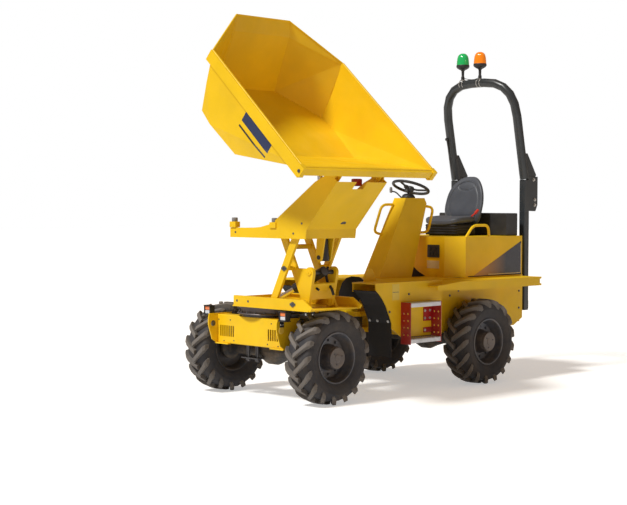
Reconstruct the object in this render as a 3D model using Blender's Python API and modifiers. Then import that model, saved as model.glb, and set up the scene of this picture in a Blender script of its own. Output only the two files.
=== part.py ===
"""Site dumper with a high-lift turntable skip, standing with its skip raised, swung to its left and tipped.

The machine's front points along -Y, its left side along +X, and Z is up. Sizes are metres. All points below
are measured from the ground under the middle of the front axle; the root empty then moves the whole machine
so that the world's origin lies under the middle of its bounding box.
"""

import math

import bmesh
import bpy
from mathutils import Matrix, Vector

# Overall layout
ORIGIN = Vector((0.2076, 1.1155, 0.0))
GAP = 0.0003
WHEELBASE = 1.932
HALF_TRACK = 0.615
PIVOT_Y = 0.950
SIDES = (("left", 1), ("right", -1))

# Wheels
TYRE_RADIUS = 0.380
TYRE_WIDTH = 0.260
LUG_HIGH = 0.030
LUG_COUNT = 17
LUG_SWEEP = math.radians(19.0)
RIM_RADIUS = 0.200
RIM_HALF = 0.095
RIM_LIP = 0.012
HUB_RADIUS = 0.095
HUB_REACH = 0.114
CAP_RADIUS = 0.083
DISC_SET = 0.020
DISC_THICK = 0.020
WHEEL_STEPS = 24

# Axles
AXLE_RADIUS = 0.055
DIFF_RADIUS = 0.112
FLANGE_RADIUS = 0.105
FLANGE_THICK = 0.030
WHEEL_CLEAR = 0.0004

# Front frame
FRAME_TOP = TYRE_RADIUS + 0.280
FRAME_DEEP = 0.160
FRAME_HALF = 0.280
BUMPER_FRONT = -0.275
BUMPER_HALF = HALF_TRACK - TYRE_WIDTH / 2.0 - 0.070
BUMPER_LOW = TYRE_RADIUS + 0.063
BUMPER_HIGH = FRAME_TOP + 0.020
BUMPER_DEEP = 0.110
CHEEK_REACH = 0.100
CHEEK_THICK = 0.010
GRILLE_SLOTS = 7
GRILLE_PITCH = 0.026
GRILLE_START = 0.215
LAMP_IN = BUMPER_HALF + CHEEK_THICK / 2.0 + GAP
LAMP_OUT = LAMP_IN + 0.080
PLATE = 0.010

# Turntable
TURN_Y = -0.050
RING_RADIUS = 0.245
RING_TOP = FRAME_TOP + 0.040
RING_CLEAR = 0.0004
BEAM_OUT = 0.284
BEAM_IN = 0.250
BEAM_WEB = 0.012
BEAM_LOW = RING_TOP + 0.066
LAMP_LOW = BUMPER_HIGH - 0.002
LAMP_HIGH = BEAM_LOW - 0.012
BEAM_HIGH = BEAM_LOW + 0.088
BEAM_REAR = -0.143
BEAM_FRONT = 0.752
FLANGE = 0.008

# Scissor lift
SCISSOR_X = 0.560
BASE_PIN_Z = BEAM_LOW + 0.049
ARM_HALF = 0.310
ARM_ANGLE = math.radians(63.5)
ARM_WIDE = 0.066
ARM_THICK = 0.024
OUTER_Y = 0.235
INNER_Y = 0.130
PIN_RADIUS = 0.018
PIN_CLEAR = 0.0004
ROLLER_RADIUS = 0.026
EAR = Vector((0.600, BASE_PIN_Z + 0.245))
EAR_RADIUS = 0.045

# Platform and pedestal
DECK_PIN_Z = BASE_PIN_Z + 2.0 * ARM_HALF * math.sin(ARM_ANGLE)
DECK_LOW = DECK_PIN_Z - 0.040
DECK_HIGH = DECK_PIN_Z + 0.040
DECK_REAR = -0.190
DECK_FRONT = 0.697
POST_TOP = DECK_PIN_Z + 0.118
POST_RADIUS = 0.020
SIDE_OUT = 0.280
SIDE_IN = 0.268

# Skip
TILT = math.radians(42.3)
HINGE = Vector((0.970, DECK_PIN_Z + 0.440))
SHEET = 0.006
RIM_OUT = 0.022
RIM_DEEP = 0.090
LUG_Y = 0.215
LUG_THICK = 0.014

# Rams
LIFT_EYE = Vector((0.080, BASE_PIN_Z + 0.005))
LIFT_BARREL = 0.040
LIFT_ROD = 0.020
LIFT_LENGTH = 0.330
LIFT_STROKE = 0.186
TIP_BASE = Vector((0.620, DECK_PIN_Z - 0.190))
TIP_EYE = Vector((0.570, DECK_PIN_Z + 0.510))
TIP_BARREL = 0.040
TIP_ROD = 0.022
TIP_LENGTH = 0.370
TIP_STROKE = 0.300
RAM_END = 0.030
BORE_START = 0.015
RAM_PISTON_GAP = 0.005
ROD_CLEAR = 0.0005
EYE_HALF = 0.026
HANGER_IN = 0.044

# Rear frame and bodywork
FLOOR_Z = TYRE_RADIUS + 0.565
FLOOR_THICK = 0.012
BOX_HALF = 0.590
BOX_IN = 0.320
BOX_NOSE = 0.590
BOX_LOW = TYRE_RADIUS + 0.095
BOX_REAR = WHEELBASE - TYRE_RADIUS - 0.112
NOTCH_Y = 0.930
RAIL_IN = 0.200
RAIL_OUT = 0.260
RAIL_LOW = TYRE_RADIUS + 0.120
RAIL_HIGH = RAIL_LOW + 0.160
COWL_HALF = 0.460
COWL_FRONT = WHEELBASE - 0.132
COWL_REAR = WHEELBASE + 0.828
COWL_HIGH = FLOOR_Z + 0.365
COWL_CHAMFER = (0.150, 0.120)
SKIN = 0.006
PANEL = 0.012
FLAP_IN = 0.320
FLAP_LOW = TYRE_RADIUS - 0.070
FLAP_THICK = 0.010

# Column and seat
COLUMN_FRONT = 1.163
COLUMN_REAR = 1.594
COLUMN_TOP = FLOOR_Z + 0.715
COLUMN_HALF = 0.100
COLUMN_TAPER = 0.30
WHEEL_HUB = Vector((0.0, 1.690, COLUMN_TOP + 0.097))
WHEEL_RADIUS = 0.165
SEAT_FRONT = WHEELBASE + 0.148
SEAT_REAR = WHEELBASE + 0.488
SEAT_HALF = 0.210
SEAT_LOW = COWL_HIGH + 0.110
SEAT_HIGH = COWL_HIGH + 0.190
SEAT_TOP = COWL_HIGH + 0.560
SEAT_BACK_THICK = 0.090

# Decks and steps
DECK_OUT = 0.700
DECK_NOSE = BOX_REAR - 0.190
DECK_BEND = WHEELBASE - 0.332
DECK_END = COWL_REAR - 0.020
DECK_TOP = FLOOR_Z - 0.013
DECK_NOSE_TOP = FLOOR_Z - 0.043
DECK_SHEET = 0.010
DECK_LIP = 0.080
STEP_REAR = WHEELBASE - TYRE_RADIUS - 0.247
STEP_FRONT = STEP_REAR - 0.402
STEP_OUT = 0.700
STEP_PLATE = 0.008
UPPER_TREAD = FLOOR_Z - 0.210
LOWER_TREAD = FLOOR_Z - 0.515
TREAD_HIGH = 0.040

# Roll bar
POST_Y = COWL_REAR + 0.080
POST_X = 0.420
POST_HALF = 0.035
POST_LOW = FLOOR_Z - 0.345
ROPS_JOINT_Z = FLOOR_Z + 0.895
ROPS_PIVOT = Vector((COWL_REAR + 0.205, ROPS_JOINT_Z))
ROPS_TOP = ROPS_JOINT_Z + 0.960
ROPS_LEAN = 0.198
TUBE_RADIUS = 0.035
CHEEK_REAR = 0.065
HOOP_PLATE = 0.014
HOOP_CORNER = 0.140

YELLOW = ((0.95, 0.62, 0.02), 0.45, 0.0)
RED = ((0.55, 0.02, 0.03), 0.45, 0.0)
GREY = ((0.16, 0.17, 0.19), 0.5, 0.2)
BLACK = ((0.02, 0.02, 0.02), 0.6, 0.0)
STEEL = ((0.35, 0.36, 0.38), 0.35, 0.9)
CHROME = ((0.8, 0.8, 0.82), 0.1, 1.0)
RUBBER = ((0.015, 0.015, 0.016), 0.85, 0.0)
GREEN = ((0.02, 0.55, 0.12), 0.2, 0.0)
AMBER = ((0.95, 0.35, 0.02), 0.2, 0.0)


def start_scene():
    """Empties the scene and returns the collections for the parts and for the cutters."""
    for old in list(bpy.data.objects):
        bpy.data.objects.remove(old, do_unlink=True)
    made = []
    for name in ("site_dumper", "cutters"):
        made.append(bpy.data.collections.new(name))
        bpy.context.scene.collection.children.link(made[-1])
    return made


PARTS, CUTTERS = start_scene()
ROOT = bpy.data.objects.new("root", None)
PARTS.objects.link(ROOT)
ROOT.location = -ORIGIN


def material(name, look):
    colour, roughness, metallic = look
    made = bpy.data.materials.new(name)
    made.use_nodes = True
    shader = made.node_tree.nodes["Principled BSDF"]
    shader.inputs["Base Color"].default_value = (*colour, 1.0)
    shader.inputs["Roughness"].default_value = roughness
    shader.inputs["Metallic"].default_value = metallic
    return made


def mesh_object(name, build):
    """An object whose mesh the function build fills."""
    shape = bmesh.new()
    build(shape)
    mesh = bpy.data.meshes.new(name)
    shape.to_mesh(mesh)
    shape.free()
    made = bpy.data.objects.new(name, mesh)
    PARTS.objects.link(made)
    return made


def baked(source):
    """A plain mesh object of what source's modifiers or curve make, in place of source."""
    graph = bpy.context.evaluated_depsgraph_get()
    bpy.context.view_layer.update()
    mesh = bpy.data.meshes.new_from_object(source.evaluated_get(graph))
    mesh.transform(source.matrix_world)
    shape = bmesh.new()
    shape.from_mesh(mesh)
    bmesh.ops.remove_doubles(shape, verts=shape.verts, dist=1e-5)
    bmesh.ops.recalc_face_normals(shape, faces=shape.faces)
    shape.to_mesh(mesh)
    shape.free()
    made = bpy.data.objects.new(source.name, mesh)
    PARTS.objects.link(made)
    bpy.data.objects.remove(source, do_unlink=True)
    return made


def box(low, high, bevel=0.0, steps=1):
    """A block between two corners, its edges rounded by bevel."""
    low = Vector(low)
    high = Vector(high)

    def build(shape):
        size = high - low
        place = Matrix.Translation((low + high) / 2.0) @ Matrix.Diagonal((*size, 1.0))
        bmesh.ops.create_cube(shape, size=1.0, matrix=place)

    made = mesh_object("box", build)
    if not bevel:
        return made
    edge = made.modifiers.new("round", "BEVEL")
    edge.width = bevel
    edge.segments = steps
    return baked(made)


def bar(start, end, radius, sides=24, end_radius=None):
    """A round bar from start to end."""
    start = Vector(start)
    end = Vector(end)

    def build(shape):
        along = end - start
        turn = Vector((0.0, 0.0, 1.0)).rotation_difference(along).to_matrix().to_4x4()
        place = Matrix.Translation((start + end) / 2.0) @ turn
        bmesh.ops.create_cone(
            shape, cap_ends=True, segments=sides, radius1=radius,
            radius2=radius if end_radius is None else end_radius, depth=along.length, matrix=place,
        )

    return mesh_object("bar", build)


AXES = {
    "X": Matrix(((0, 0, 1), (1, 0, 0), (0, 1, 0))),
    "Y": Matrix(((1, 0, 0), (0, 0, -1), (0, 1, 0))),
    "Z": Matrix(((1, 0, 0), (0, 1, 0), (0, 0, 1))),
}


def plate(outline, axis, low, high):
    """A flat plate: an outline in the plane across axis, from low to high along it.

    Across X the outline is (y, z), across Y it is (x, z), and across Z it is (x, y).
    """
    curve = bpy.data.curves.new("plate", "CURVE")
    curve.dimensions = "2D"
    curve.fill_mode = "BOTH"
    curve.extrude = (high - low) / 2.0
    line = curve.splines.new("POLY")
    line.points.add(len(outline) - 1)
    for point, (across, up) in zip(line.points, outline):
        point.co = (across, up, 0.0, 1.0)
    line.use_cyclic_u = True
    made = bpy.data.objects.new("plate", curve)
    PARTS.objects.link(made)
    turn = AXES[axis].to_4x4()
    middle = (low + high) / 2.0
    away = {"X": (middle, 0, 0), "Y": (0, middle, 0), "Z": (0, 0, middle)}[axis]
    made.matrix_world = Matrix.Translation(away) @ turn
    bpy.context.view_layer.update()
    return baked(made)


def turned(profile, centre, axis, steps=WHEEL_STEPS):
    """A turned piece: (radius, along) points turned about axis through centre."""

    def build(shape):
        corners = [shape.verts.new((radius, 0.0, along)) for radius, along in profile]
        for index, corner in enumerate(corners):
            shape.edges.new((corner, corners[(index + 1) % len(corners)]))

    made = mesh_object("turned", build)
    screw = made.modifiers.new("turn", "SCREW")
    screw.axis = "Z"
    screw.steps = steps
    screw.render_steps = steps
    screw.use_merge_vertices = True
    screw.merge_threshold = 1e-5
    turn = {
        "X": Matrix.Rotation(math.pi / 2.0, 4, "Y"),
        "Y": Matrix.Rotation(-math.pi / 2.0, 4, "X"),
        "Z": Matrix.Identity(4),
    }[axis]
    made.matrix_world = Matrix.Translation(centre) @ turn
    bpy.context.view_layer.update()
    return baked(made)


def pipe(points, radius, sides=3, cyclic=False):
    """A round tube, filled, along points, as a poly curve with a bevel."""
    curve = bpy.data.curves.new("pipe", "CURVE")
    curve.dimensions = "3D"
    curve.bevel_depth = radius
    curve.bevel_resolution = sides
    curve.use_fill_caps = not cyclic
    line = curve.splines.new("POLY")
    line.points.add(len(points) - 1)
    for point, place in zip(line.points, points):
        point.co = (*place, 1.0)
    line.use_cyclic_u = cyclic
    made = bpy.data.objects.new("pipe", curve)
    PARTS.objects.link(made)
    bpy.context.view_layer.update()
    return baked(made)


def boolean(base, other, operation):
    change = base.modifiers.new("boolean", "BOOLEAN")
    change.operation = operation
    change.object = other
    change.solver = "EXACT"
    bpy.context.view_layer.update()
    done = baked(base)
    bpy.data.objects.remove(other, do_unlink=True)
    return done


def node(name, pieces, look, pivot=(0.0, 0.0, 0.0), cuts=()):
    """One named closed body: the pieces joined, then cut, with its origin on pivot."""
    whole = pieces[0]
    for piece in pieces[1:]:
        whole = boolean(whole, piece, "UNION")
    for cutter in cuts:
        whole = boolean(whole, cutter, "DIFFERENCE")
    whole.name = name
    whole.data.name = name
    whole.data.transform(Matrix.Translation(-Vector(pivot)))
    whole.parent = ROOT
    whole.location = pivot
    whole.data.materials.clear()
    whole.data.materials.append(material(name, look))
    whole.data.shade_smooth()
    whole.data.set_sharp_from_angle(angle=math.radians(35))
    return whole


def arm_strip(start, end, width, axis, low, high, steps=8):
    """A flat arm with round ends between two points of the plane across axis."""
    start = Vector(start)
    end = Vector(end)
    angle = math.atan2(end.y - start.y, end.x - start.x)
    outline = []
    for centre, first in ((end, angle - math.pi / 2.0), (start, angle + math.pi / 2.0)):
        for step in range(steps + 1):
            turn = first + math.pi * step / steps
            outline.append((centre.x + width / 2.0 * math.cos(turn),
                            centre.y + width / 2.0 * math.sin(turn)))
    return plate(outline, axis, low, high)


def circle(centre, radius, first=0.0, last=2.0 * math.pi, steps=16):
    """Points of an arc about centre, both ends included."""
    points = []
    for step in range(steps + 1):
        turn = first + (last - first) * step / steps
        points.append((centre[0] + radius * math.cos(turn), centre[1] + radius * math.sin(turn)))
    return points


# Wheels

def tyre_profile():
    half = TYRE_WIDTH / 2.0 - 0.006
    base = TYRE_RADIUS - LUG_HIGH
    return [
        (RIM_RADIUS, RIM_HALF), (RIM_RADIUS + 0.008, RIM_HALF), (RIM_RADIUS + 0.070, half),
        (base - 0.025, half - 0.004), (base, half - 0.040), (base, 0.040 - half),
        (base - 0.025, 0.004 - half),
        (RIM_RADIUS + 0.070, -half), (RIM_RADIUS + 0.008, -RIM_HALF), (RIM_RADIUS, -RIM_HALF),
    ]


def lugs(centre):
    """The tread bars: two rows of slanting bars that meet in a zigzag and end on the sidewalls."""
    outer = TYRE_WIDTH / 2.0
    base = TYRE_RADIUS - LUG_HIGH
    stations = (
        # along the axle, top radius, foot radius, share of the sweep, half width
        (-0.012, TYRE_RADIUS, base - 0.008, 0.00, 0.017),
        (outer, TYRE_RADIUS - 0.016, base - 0.050, 1.00, 0.022),
    )

    def build(shape):
        for side in (-1, 1):
            for index in range(LUG_COUNT):
                first = 2.0 * math.pi * (index + 0.25 * side) / LUG_COUNT
                rings = []
                for along, top, foot, share, half in stations:
                    ring = []
                    for radius, way in ((top, -1), (top, 1), (foot, 1), (foot, -1)):
                        turn = first - share * LUG_SWEEP + way * half / TYRE_RADIUS
                        inset = 0.018 if share == 1.0 and radius == foot else 0.0
                        place = Vector((side * (along - inset), radius * math.cos(turn),
                                        radius * math.sin(turn)))
                        ring.append(shape.verts.new(place + Vector(centre)))
                    rings.append(ring)
                for one, two in zip(rings, rings[1:]):
                    for corner in range(4):
                        after = (corner + 1) % 4
                        shape.faces.new((one[corner], one[after], two[after], two[corner]))
                shape.faces.new(rings[0])
                shape.faces.new(rings[-1])
        bmesh.ops.recalc_face_normals(shape, faces=shape.faces)

    return mesh_object("lugs", build)


def rim_profile(side):
    seat = RIM_RADIUS - GAP
    inner = RIM_RADIUS - 0.012
    bead = RIM_HALF + GAP
    points = [
        (0.0, HUB_REACH), (CAP_RADIUS, HUB_REACH), (CAP_RADIUS, HUB_REACH - 0.012),
        (HUB_RADIUS, HUB_REACH - 0.020), (HUB_RADIUS, -DISC_SET), (inner, -DISC_SET),
        (inner, RIM_HALF - 0.010),
        (RIM_RADIUS - 0.004, bead + 0.006), (RIM_RADIUS + 0.006, bead + 0.006), (RIM_RADIUS + 0.006, bead),
        (seat, bead), (seat, -bead), (RIM_RADIUS + 0.006, -bead), (RIM_RADIUS + 0.006, -bead - 0.006),
        (inner, -bead - 0.006), (inner, -DISC_SET - DISC_THICK), (0.0, -DISC_SET - DISC_THICK),
    ]
    return [(radius, side * along) for radius, along in points]


def wheels():
    places = (("front_left", 1, 0.0), ("front_right", -1, 0.0), ("rear_left", 1, WHEELBASE),
              ("rear_right", -1, WHEELBASE))
    for name, side, along in places:
        centre = (side * HALF_TRACK, along, TYRE_RADIUS)
        node("tyre_" + name, [turned(tyre_profile(), centre, "X"), lugs(centre)], RUBBER, centre)
        node("rim_" + name, [turned(rim_profile(side), centre, "X")], STEEL, centre)


def axle(name, along):
    """A rigid axle: a tube with a round differential case and a flange behind each wheel."""
    end = HALF_TRACK - DISC_SET - DISC_THICK - WHEEL_CLEAR
    half = [
        (0.0, end), (FLANGE_RADIUS, end), (FLANGE_RADIUS, end - FLANGE_THICK),
        (AXLE_RADIUS + 0.015, end - 0.050),
        (AXLE_RADIUS, end - 0.090), (AXLE_RADIUS, 0.200), (DIFF_RADIUS - 0.030, 0.110), (DIFF_RADIUS, 0.040),
    ]
    outline = half + [(radius, -side) for radius, side in reversed(half)]
    return node(name, [turned(outline, (0.0, along, TYRE_RADIUS), "X", 20)], BLACK,
                (0.0, along, TYRE_RADIUS))


# Front frame

def front_frame():
    low = FRAME_TOP - FRAME_DEEP
    body = box((-FRAME_HALF, BUMPER_FRONT + BUMPER_DEEP + GAP, low), (FRAME_HALF, 0.300, FRAME_TOP), 0.008)
    seat = bar((0, TURN_Y, BUMPER_HIGH + GAP), (0, TURN_Y, RING_TOP), RING_RADIUS, 48)
    drum = bar((0, TURN_Y, FRAME_TOP - 0.010), (0, TURN_Y, RING_TOP - 0.010), 0.110, 32)
    neck = plate([(-0.16, 0.28), (0.16, 0.28), (0.07, PIVOT_Y - 0.06), (-0.07, PIVOT_Y - 0.06)], "Z",
                 low + 0.02, low + 0.12)
    eye = bar((0, PIVOT_Y, low + 0.02), (0, PIVOT_Y, low + 0.12), 0.070, 32)
    link = box((-0.06, PIVOT_Y - 0.12, low + 0.03), (0.06, PIVOT_Y - 0.02, low + 0.11))
    clamps = []
    for side in (-1, 1):
        clamps.append(box((side * 0.245 - 0.03, -0.06, TYRE_RADIUS + AXLE_RADIUS + GAP),
                          (side * 0.245 + 0.03, 0.06, low + 0.01)))
    node("front_frame", [body, drum, seat, neck, eye, link] + clamps, GREY)


def bumper():
    """The front box with its grille slots, and a cheek plate at each end that stands out in front."""
    back = BUMPER_FRONT + BUMPER_DEEP
    inside = BUMPER_HALF - PLATE
    shell = box((-BUMPER_HALF, BUMPER_FRONT, BUMPER_LOW), (BUMPER_HALF, back, BUMPER_HIGH), 0.006)
    cuts = [box((-inside, BUMPER_FRONT + PLATE, BUMPER_LOW - 0.02),
                (inside, back + 0.02, BUMPER_HIGH - PLATE))]
    pieces = [shell]
    nose = BUMPER_FRONT - CHEEK_REACH
    cheek = [(nose + 0.010, BUMPER_HIGH + 0.010), (nose, BUMPER_HIGH - 0.030), (nose, BUMPER_HIGH - 0.085),
             (BUMPER_FRONT - 0.060, BUMPER_LOW + 0.030), (BUMPER_FRONT - 0.008, BUMPER_LOW - 0.002),
             (BUMPER_FRONT + 0.045, BUMPER_LOW + 0.090), (back + 0.045, BUMPER_HIGH - 0.080),
             (back + 0.045, BUMPER_HIGH + 0.010)]
    half = CHEEK_THICK / 2.0
    for _, side in SIDES:
        low_x, high_x = sorted((side * (BUMPER_HALF - half), side * (BUMPER_HALF + half)))
        pieces.append(plate(cheek, "X", low_x, high_x))
        low_x, high_x = sorted((side * (BUMPER_HALF - 0.160), side * (BUMPER_HALF + 0.002)))
        pieces.append(box((low_x, BUMPER_FRONT - 0.025, BUMPER_LOW - 0.006),
                          (high_x, BUMPER_FRONT + 0.060, BUMPER_LOW + 0.004)))
        for slot in range(GRILLE_SLOTS):
            middle = side * (GRILLE_START + GRILLE_PITCH * slot)
            cuts.append(box((middle - 0.008, BUMPER_FRONT - 0.02, BUMPER_LOW + 0.057),
                            (middle + 0.008, BUMPER_FRONT + PLATE + 0.02, BUMPER_LOW + 0.149)))
        hole_x = sorted((side * (BUMPER_HALF - 0.02), side * (BUMPER_HALF + 0.02)))
        cuts.append(bar((hole_x[0], BUMPER_FRONT - 0.050, BUMPER_HIGH - 0.075),
                        (hole_x[1], BUMPER_FRONT - 0.050, BUMPER_HIGH - 0.075), 0.020, 16))
    node("bumper", pieces, YELLOW, cuts=cuts)
    for name, side in SIDES:
        low_x, high_x = sorted((side * LAMP_IN, side * LAMP_OUT))
        front = BUMPER_FRONT - 0.072
        body = box((low_x, front, LAMP_LOW), (high_x, front + 0.050, LAMP_HIGH), 0.006)
        guard = box((low_x, front - 0.014, LAMP_HIGH - 0.002), (high_x, front + 0.056, LAMP_HIGH + 0.004))
        foot = box((low_x, front - 0.014, LAMP_LOW - 0.004), (high_x, front + 0.056, LAMP_LOW + 0.002))
        low_x, high_x = sorted((side * (LAMP_IN + 0.0005), side * (LAMP_IN + 0.0085)))
        stay = box((low_x, front + 0.004, BUMPER_HIGH - 0.055), (high_x, front + 0.044, LAMP_LOW + 0.012))
        node("lamp_" + name, [body, guard, foot, stay], BLACK)


# Turntable

def turntable():
    """The base frame: two C beams with slanted noses on a floor plate, and the slew ring under them."""
    web = [(BEAM_REAR, BEAM_LOW), (BEAM_FRONT, BEAM_LOW), (BEAM_FRONT + 0.022, BEAM_LOW + 0.029),
           (BEAM_FRONT - 0.077, BEAM_HIGH), (BEAM_REAR, BEAM_HIGH)]
    pieces = []
    for way in (-1, 1):
        low_y, high_y = sorted((TURN_Y + way * BEAM_OUT, TURN_Y + way * (BEAM_OUT - BEAM_WEB)))
        pieces.append(plate(web, "Y", low_y, high_y))
        low_y, high_y = sorted((TURN_Y + way * (BEAM_OUT - 0.001), TURN_Y + way * BEAM_IN))
        pieces.append(box((BEAM_REAR + 0.001, low_y, BEAM_HIGH - FLANGE),
                          (BEAM_FRONT - 0.085, high_y, BEAM_HIGH - 0.0005)))
    ledge = BEAM_OUT + 0.007
    pieces.append(box((BEAM_REAR - 0.003, TURN_Y - ledge, BEAM_LOW - 0.0005),
                      (BEAM_FRONT - 0.010, TURN_Y + ledge, BEAM_LOW + 0.010)))
    pieces.append(box((BEAM_REAR - 0.001, TURN_Y - BEAM_IN - 0.01, BEAM_LOW + 0.002),
                      (BEAM_REAR + 0.011, TURN_Y + BEAM_IN + 0.01, BEAM_HIGH - 0.010)))
    node("slew_ring", [bar((0, TURN_Y, RING_TOP + RING_CLEAR), (0, TURN_Y, BEAM_LOW - 0.0005 - GAP),
                           RING_RADIUS, 48)],
         GREY, (0, TURN_Y, 0))
    for side in (-1, 1):
        inner = TURN_Y + side * (INNER_Y + ARM_THICK / 2.0 + 0.006)
        outer = TURN_Y + side * (INNER_Y + ARM_THICK / 2.0 + 0.026)
        low_y, high_y = sorted((inner, outer))
        lug = [(0.500, BEAM_LOW + 0.005), (0.620, BEAM_LOW + 0.005)] + circle(
            (SCISSOR_X, BASE_PIN_Z), 0.034, 0.0, math.pi, 8)
        pieces.append(plate(lug, "Y", low_y, high_y))
        start = TURN_Y + side * (INNER_Y - ARM_THICK / 2.0 + 0.002)
        pieces.append(bar((SCISSOR_X, start, BASE_PIN_Z), (SCISSOR_X, outer, BASE_PIN_Z), PIN_RADIUS))
        ram_low, ram_high = sorted((TURN_Y + side * 0.032, TURN_Y + side * 0.050))
        foot = [(0.030, BEAM_LOW + 0.005), (0.130, BEAM_LOW + 0.005)] + circle(
            (LIFT_EYE.x, LIFT_EYE.y), 0.030, 0.0, math.pi, 8)
        pieces.append(plate(foot, "Y", ram_low, ram_high))
    node("base_frame", pieces, YELLOW, (0, TURN_Y, 0))


# Scissor lift

def arm_points():
    reach = 2.0 * ARM_HALF * math.cos(ARM_ANGLE)
    base = Vector((SCISSOR_X, BASE_PIN_Z))
    deck = Vector((SCISSOR_X, DECK_PIN_Z))
    low = Vector((SCISSOR_X - reach, BASE_PIN_Z))
    high = Vector((SCISSOR_X - reach, DECK_PIN_Z))
    return base, deck, low, high, (base + high) / 2.0


def hole(centre, low, high, radius):
    return bar((centre.x, low, centre.y), (centre.x, high, centre.y), radius + PIN_CLEAR)


def inner_arms():
    base, _, _, high, middle = arm_points()
    pieces = []
    cuts = []
    reach = TURN_Y + INNER_Y + ARM_THICK
    for side in (-1, 1):
        low_y = TURN_Y + side * INNER_Y - ARM_THICK / 2.0
        high_y = low_y + ARM_THICK
        pieces.append(arm_strip(base, high, ARM_WIDE, "Y", low_y, high_y))
        bell = circle(base, 0.036, -math.pi, 0.0, 8) + circle(EAR, EAR_RADIUS, -0.2, math.pi * 0.75, 8) + [
            (middle.x + 0.02, middle.y)]
        pieces.append(plate(bell, "Y", low_y - 0.002, high_y + 0.002))
        cuts.append(hole(base, low_y - 0.01, high_y + 0.01, PIN_RADIUS))
        cuts.append(hole(middle, low_y - 0.01, high_y + 0.01, PIN_RADIUS))
        cuts.append(hole(EAR, low_y - 0.01, high_y + 0.01, PIN_RADIUS))
    sheet = [(0.590, BASE_PIN_Z + 0.032), (0.602, BASE_PIN_Z + 0.032), (0.607, BASE_PIN_Z + 0.100),
             (0.630, BASE_PIN_Z + 0.155), (0.622, BASE_PIN_Z + 0.163), (0.597, BASE_PIN_Z + 0.105)]
    pieces.append(plate(sheet, "Y", TURN_Y - INNER_Y, TURN_Y + INNER_Y))
    tie = base.lerp(high, 0.80)
    pieces.append(bar((tie.x, TURN_Y - INNER_Y, tie.y), (tie.x, TURN_Y + INNER_Y, tie.y), 0.020))
    slide = SIDE_IN - 0.004
    pieces.append(bar((high.x, TURN_Y - slide, high.y), (high.x, TURN_Y + slide, high.y), PIN_RADIUS))
    for side in (-1, 1):
        pieces.append(bar((high.x, TURN_Y + side * slide, high.y),
                          (high.x, TURN_Y + side * (BEAM_IN + 0.002), high.y),
                          ROLLER_RADIUS))
    node("inner_arms", pieces, YELLOW, (SCISSOR_X, TURN_Y, BASE_PIN_Z), cuts)


def outer_arms():
    _, deck, low, _, middle = arm_points()
    for name, side in (("near", -1), ("far", 1)):
        low_y = TURN_Y + side * OUTER_Y - ARM_THICK / 2.0
        high_y = low_y + ARM_THICK
        strip = arm_strip(deck, low, ARM_WIDE, "Y", low_y, high_y)
        pin = bar((middle.x, TURN_Y + side * OUTER_Y, middle.y),
                  (middle.x, TURN_Y + side * (INNER_Y - ARM_THICK / 2.0), middle.y), PIN_RADIUS)
        roller = bar((low.x, TURN_Y + side * OUTER_Y, low.y),
                     (low.x, TURN_Y + side * (BEAM_OUT - BEAM_WEB - 0.004), low.y), ROLLER_RADIUS)
        cut = hole(deck, low_y - 0.01, high_y + 0.01, PIN_RADIUS)
        node("outer_arm_" + name, [strip, pin, roller], YELLOW, (middle.x, TURN_Y, middle.y), [cut])


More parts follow.
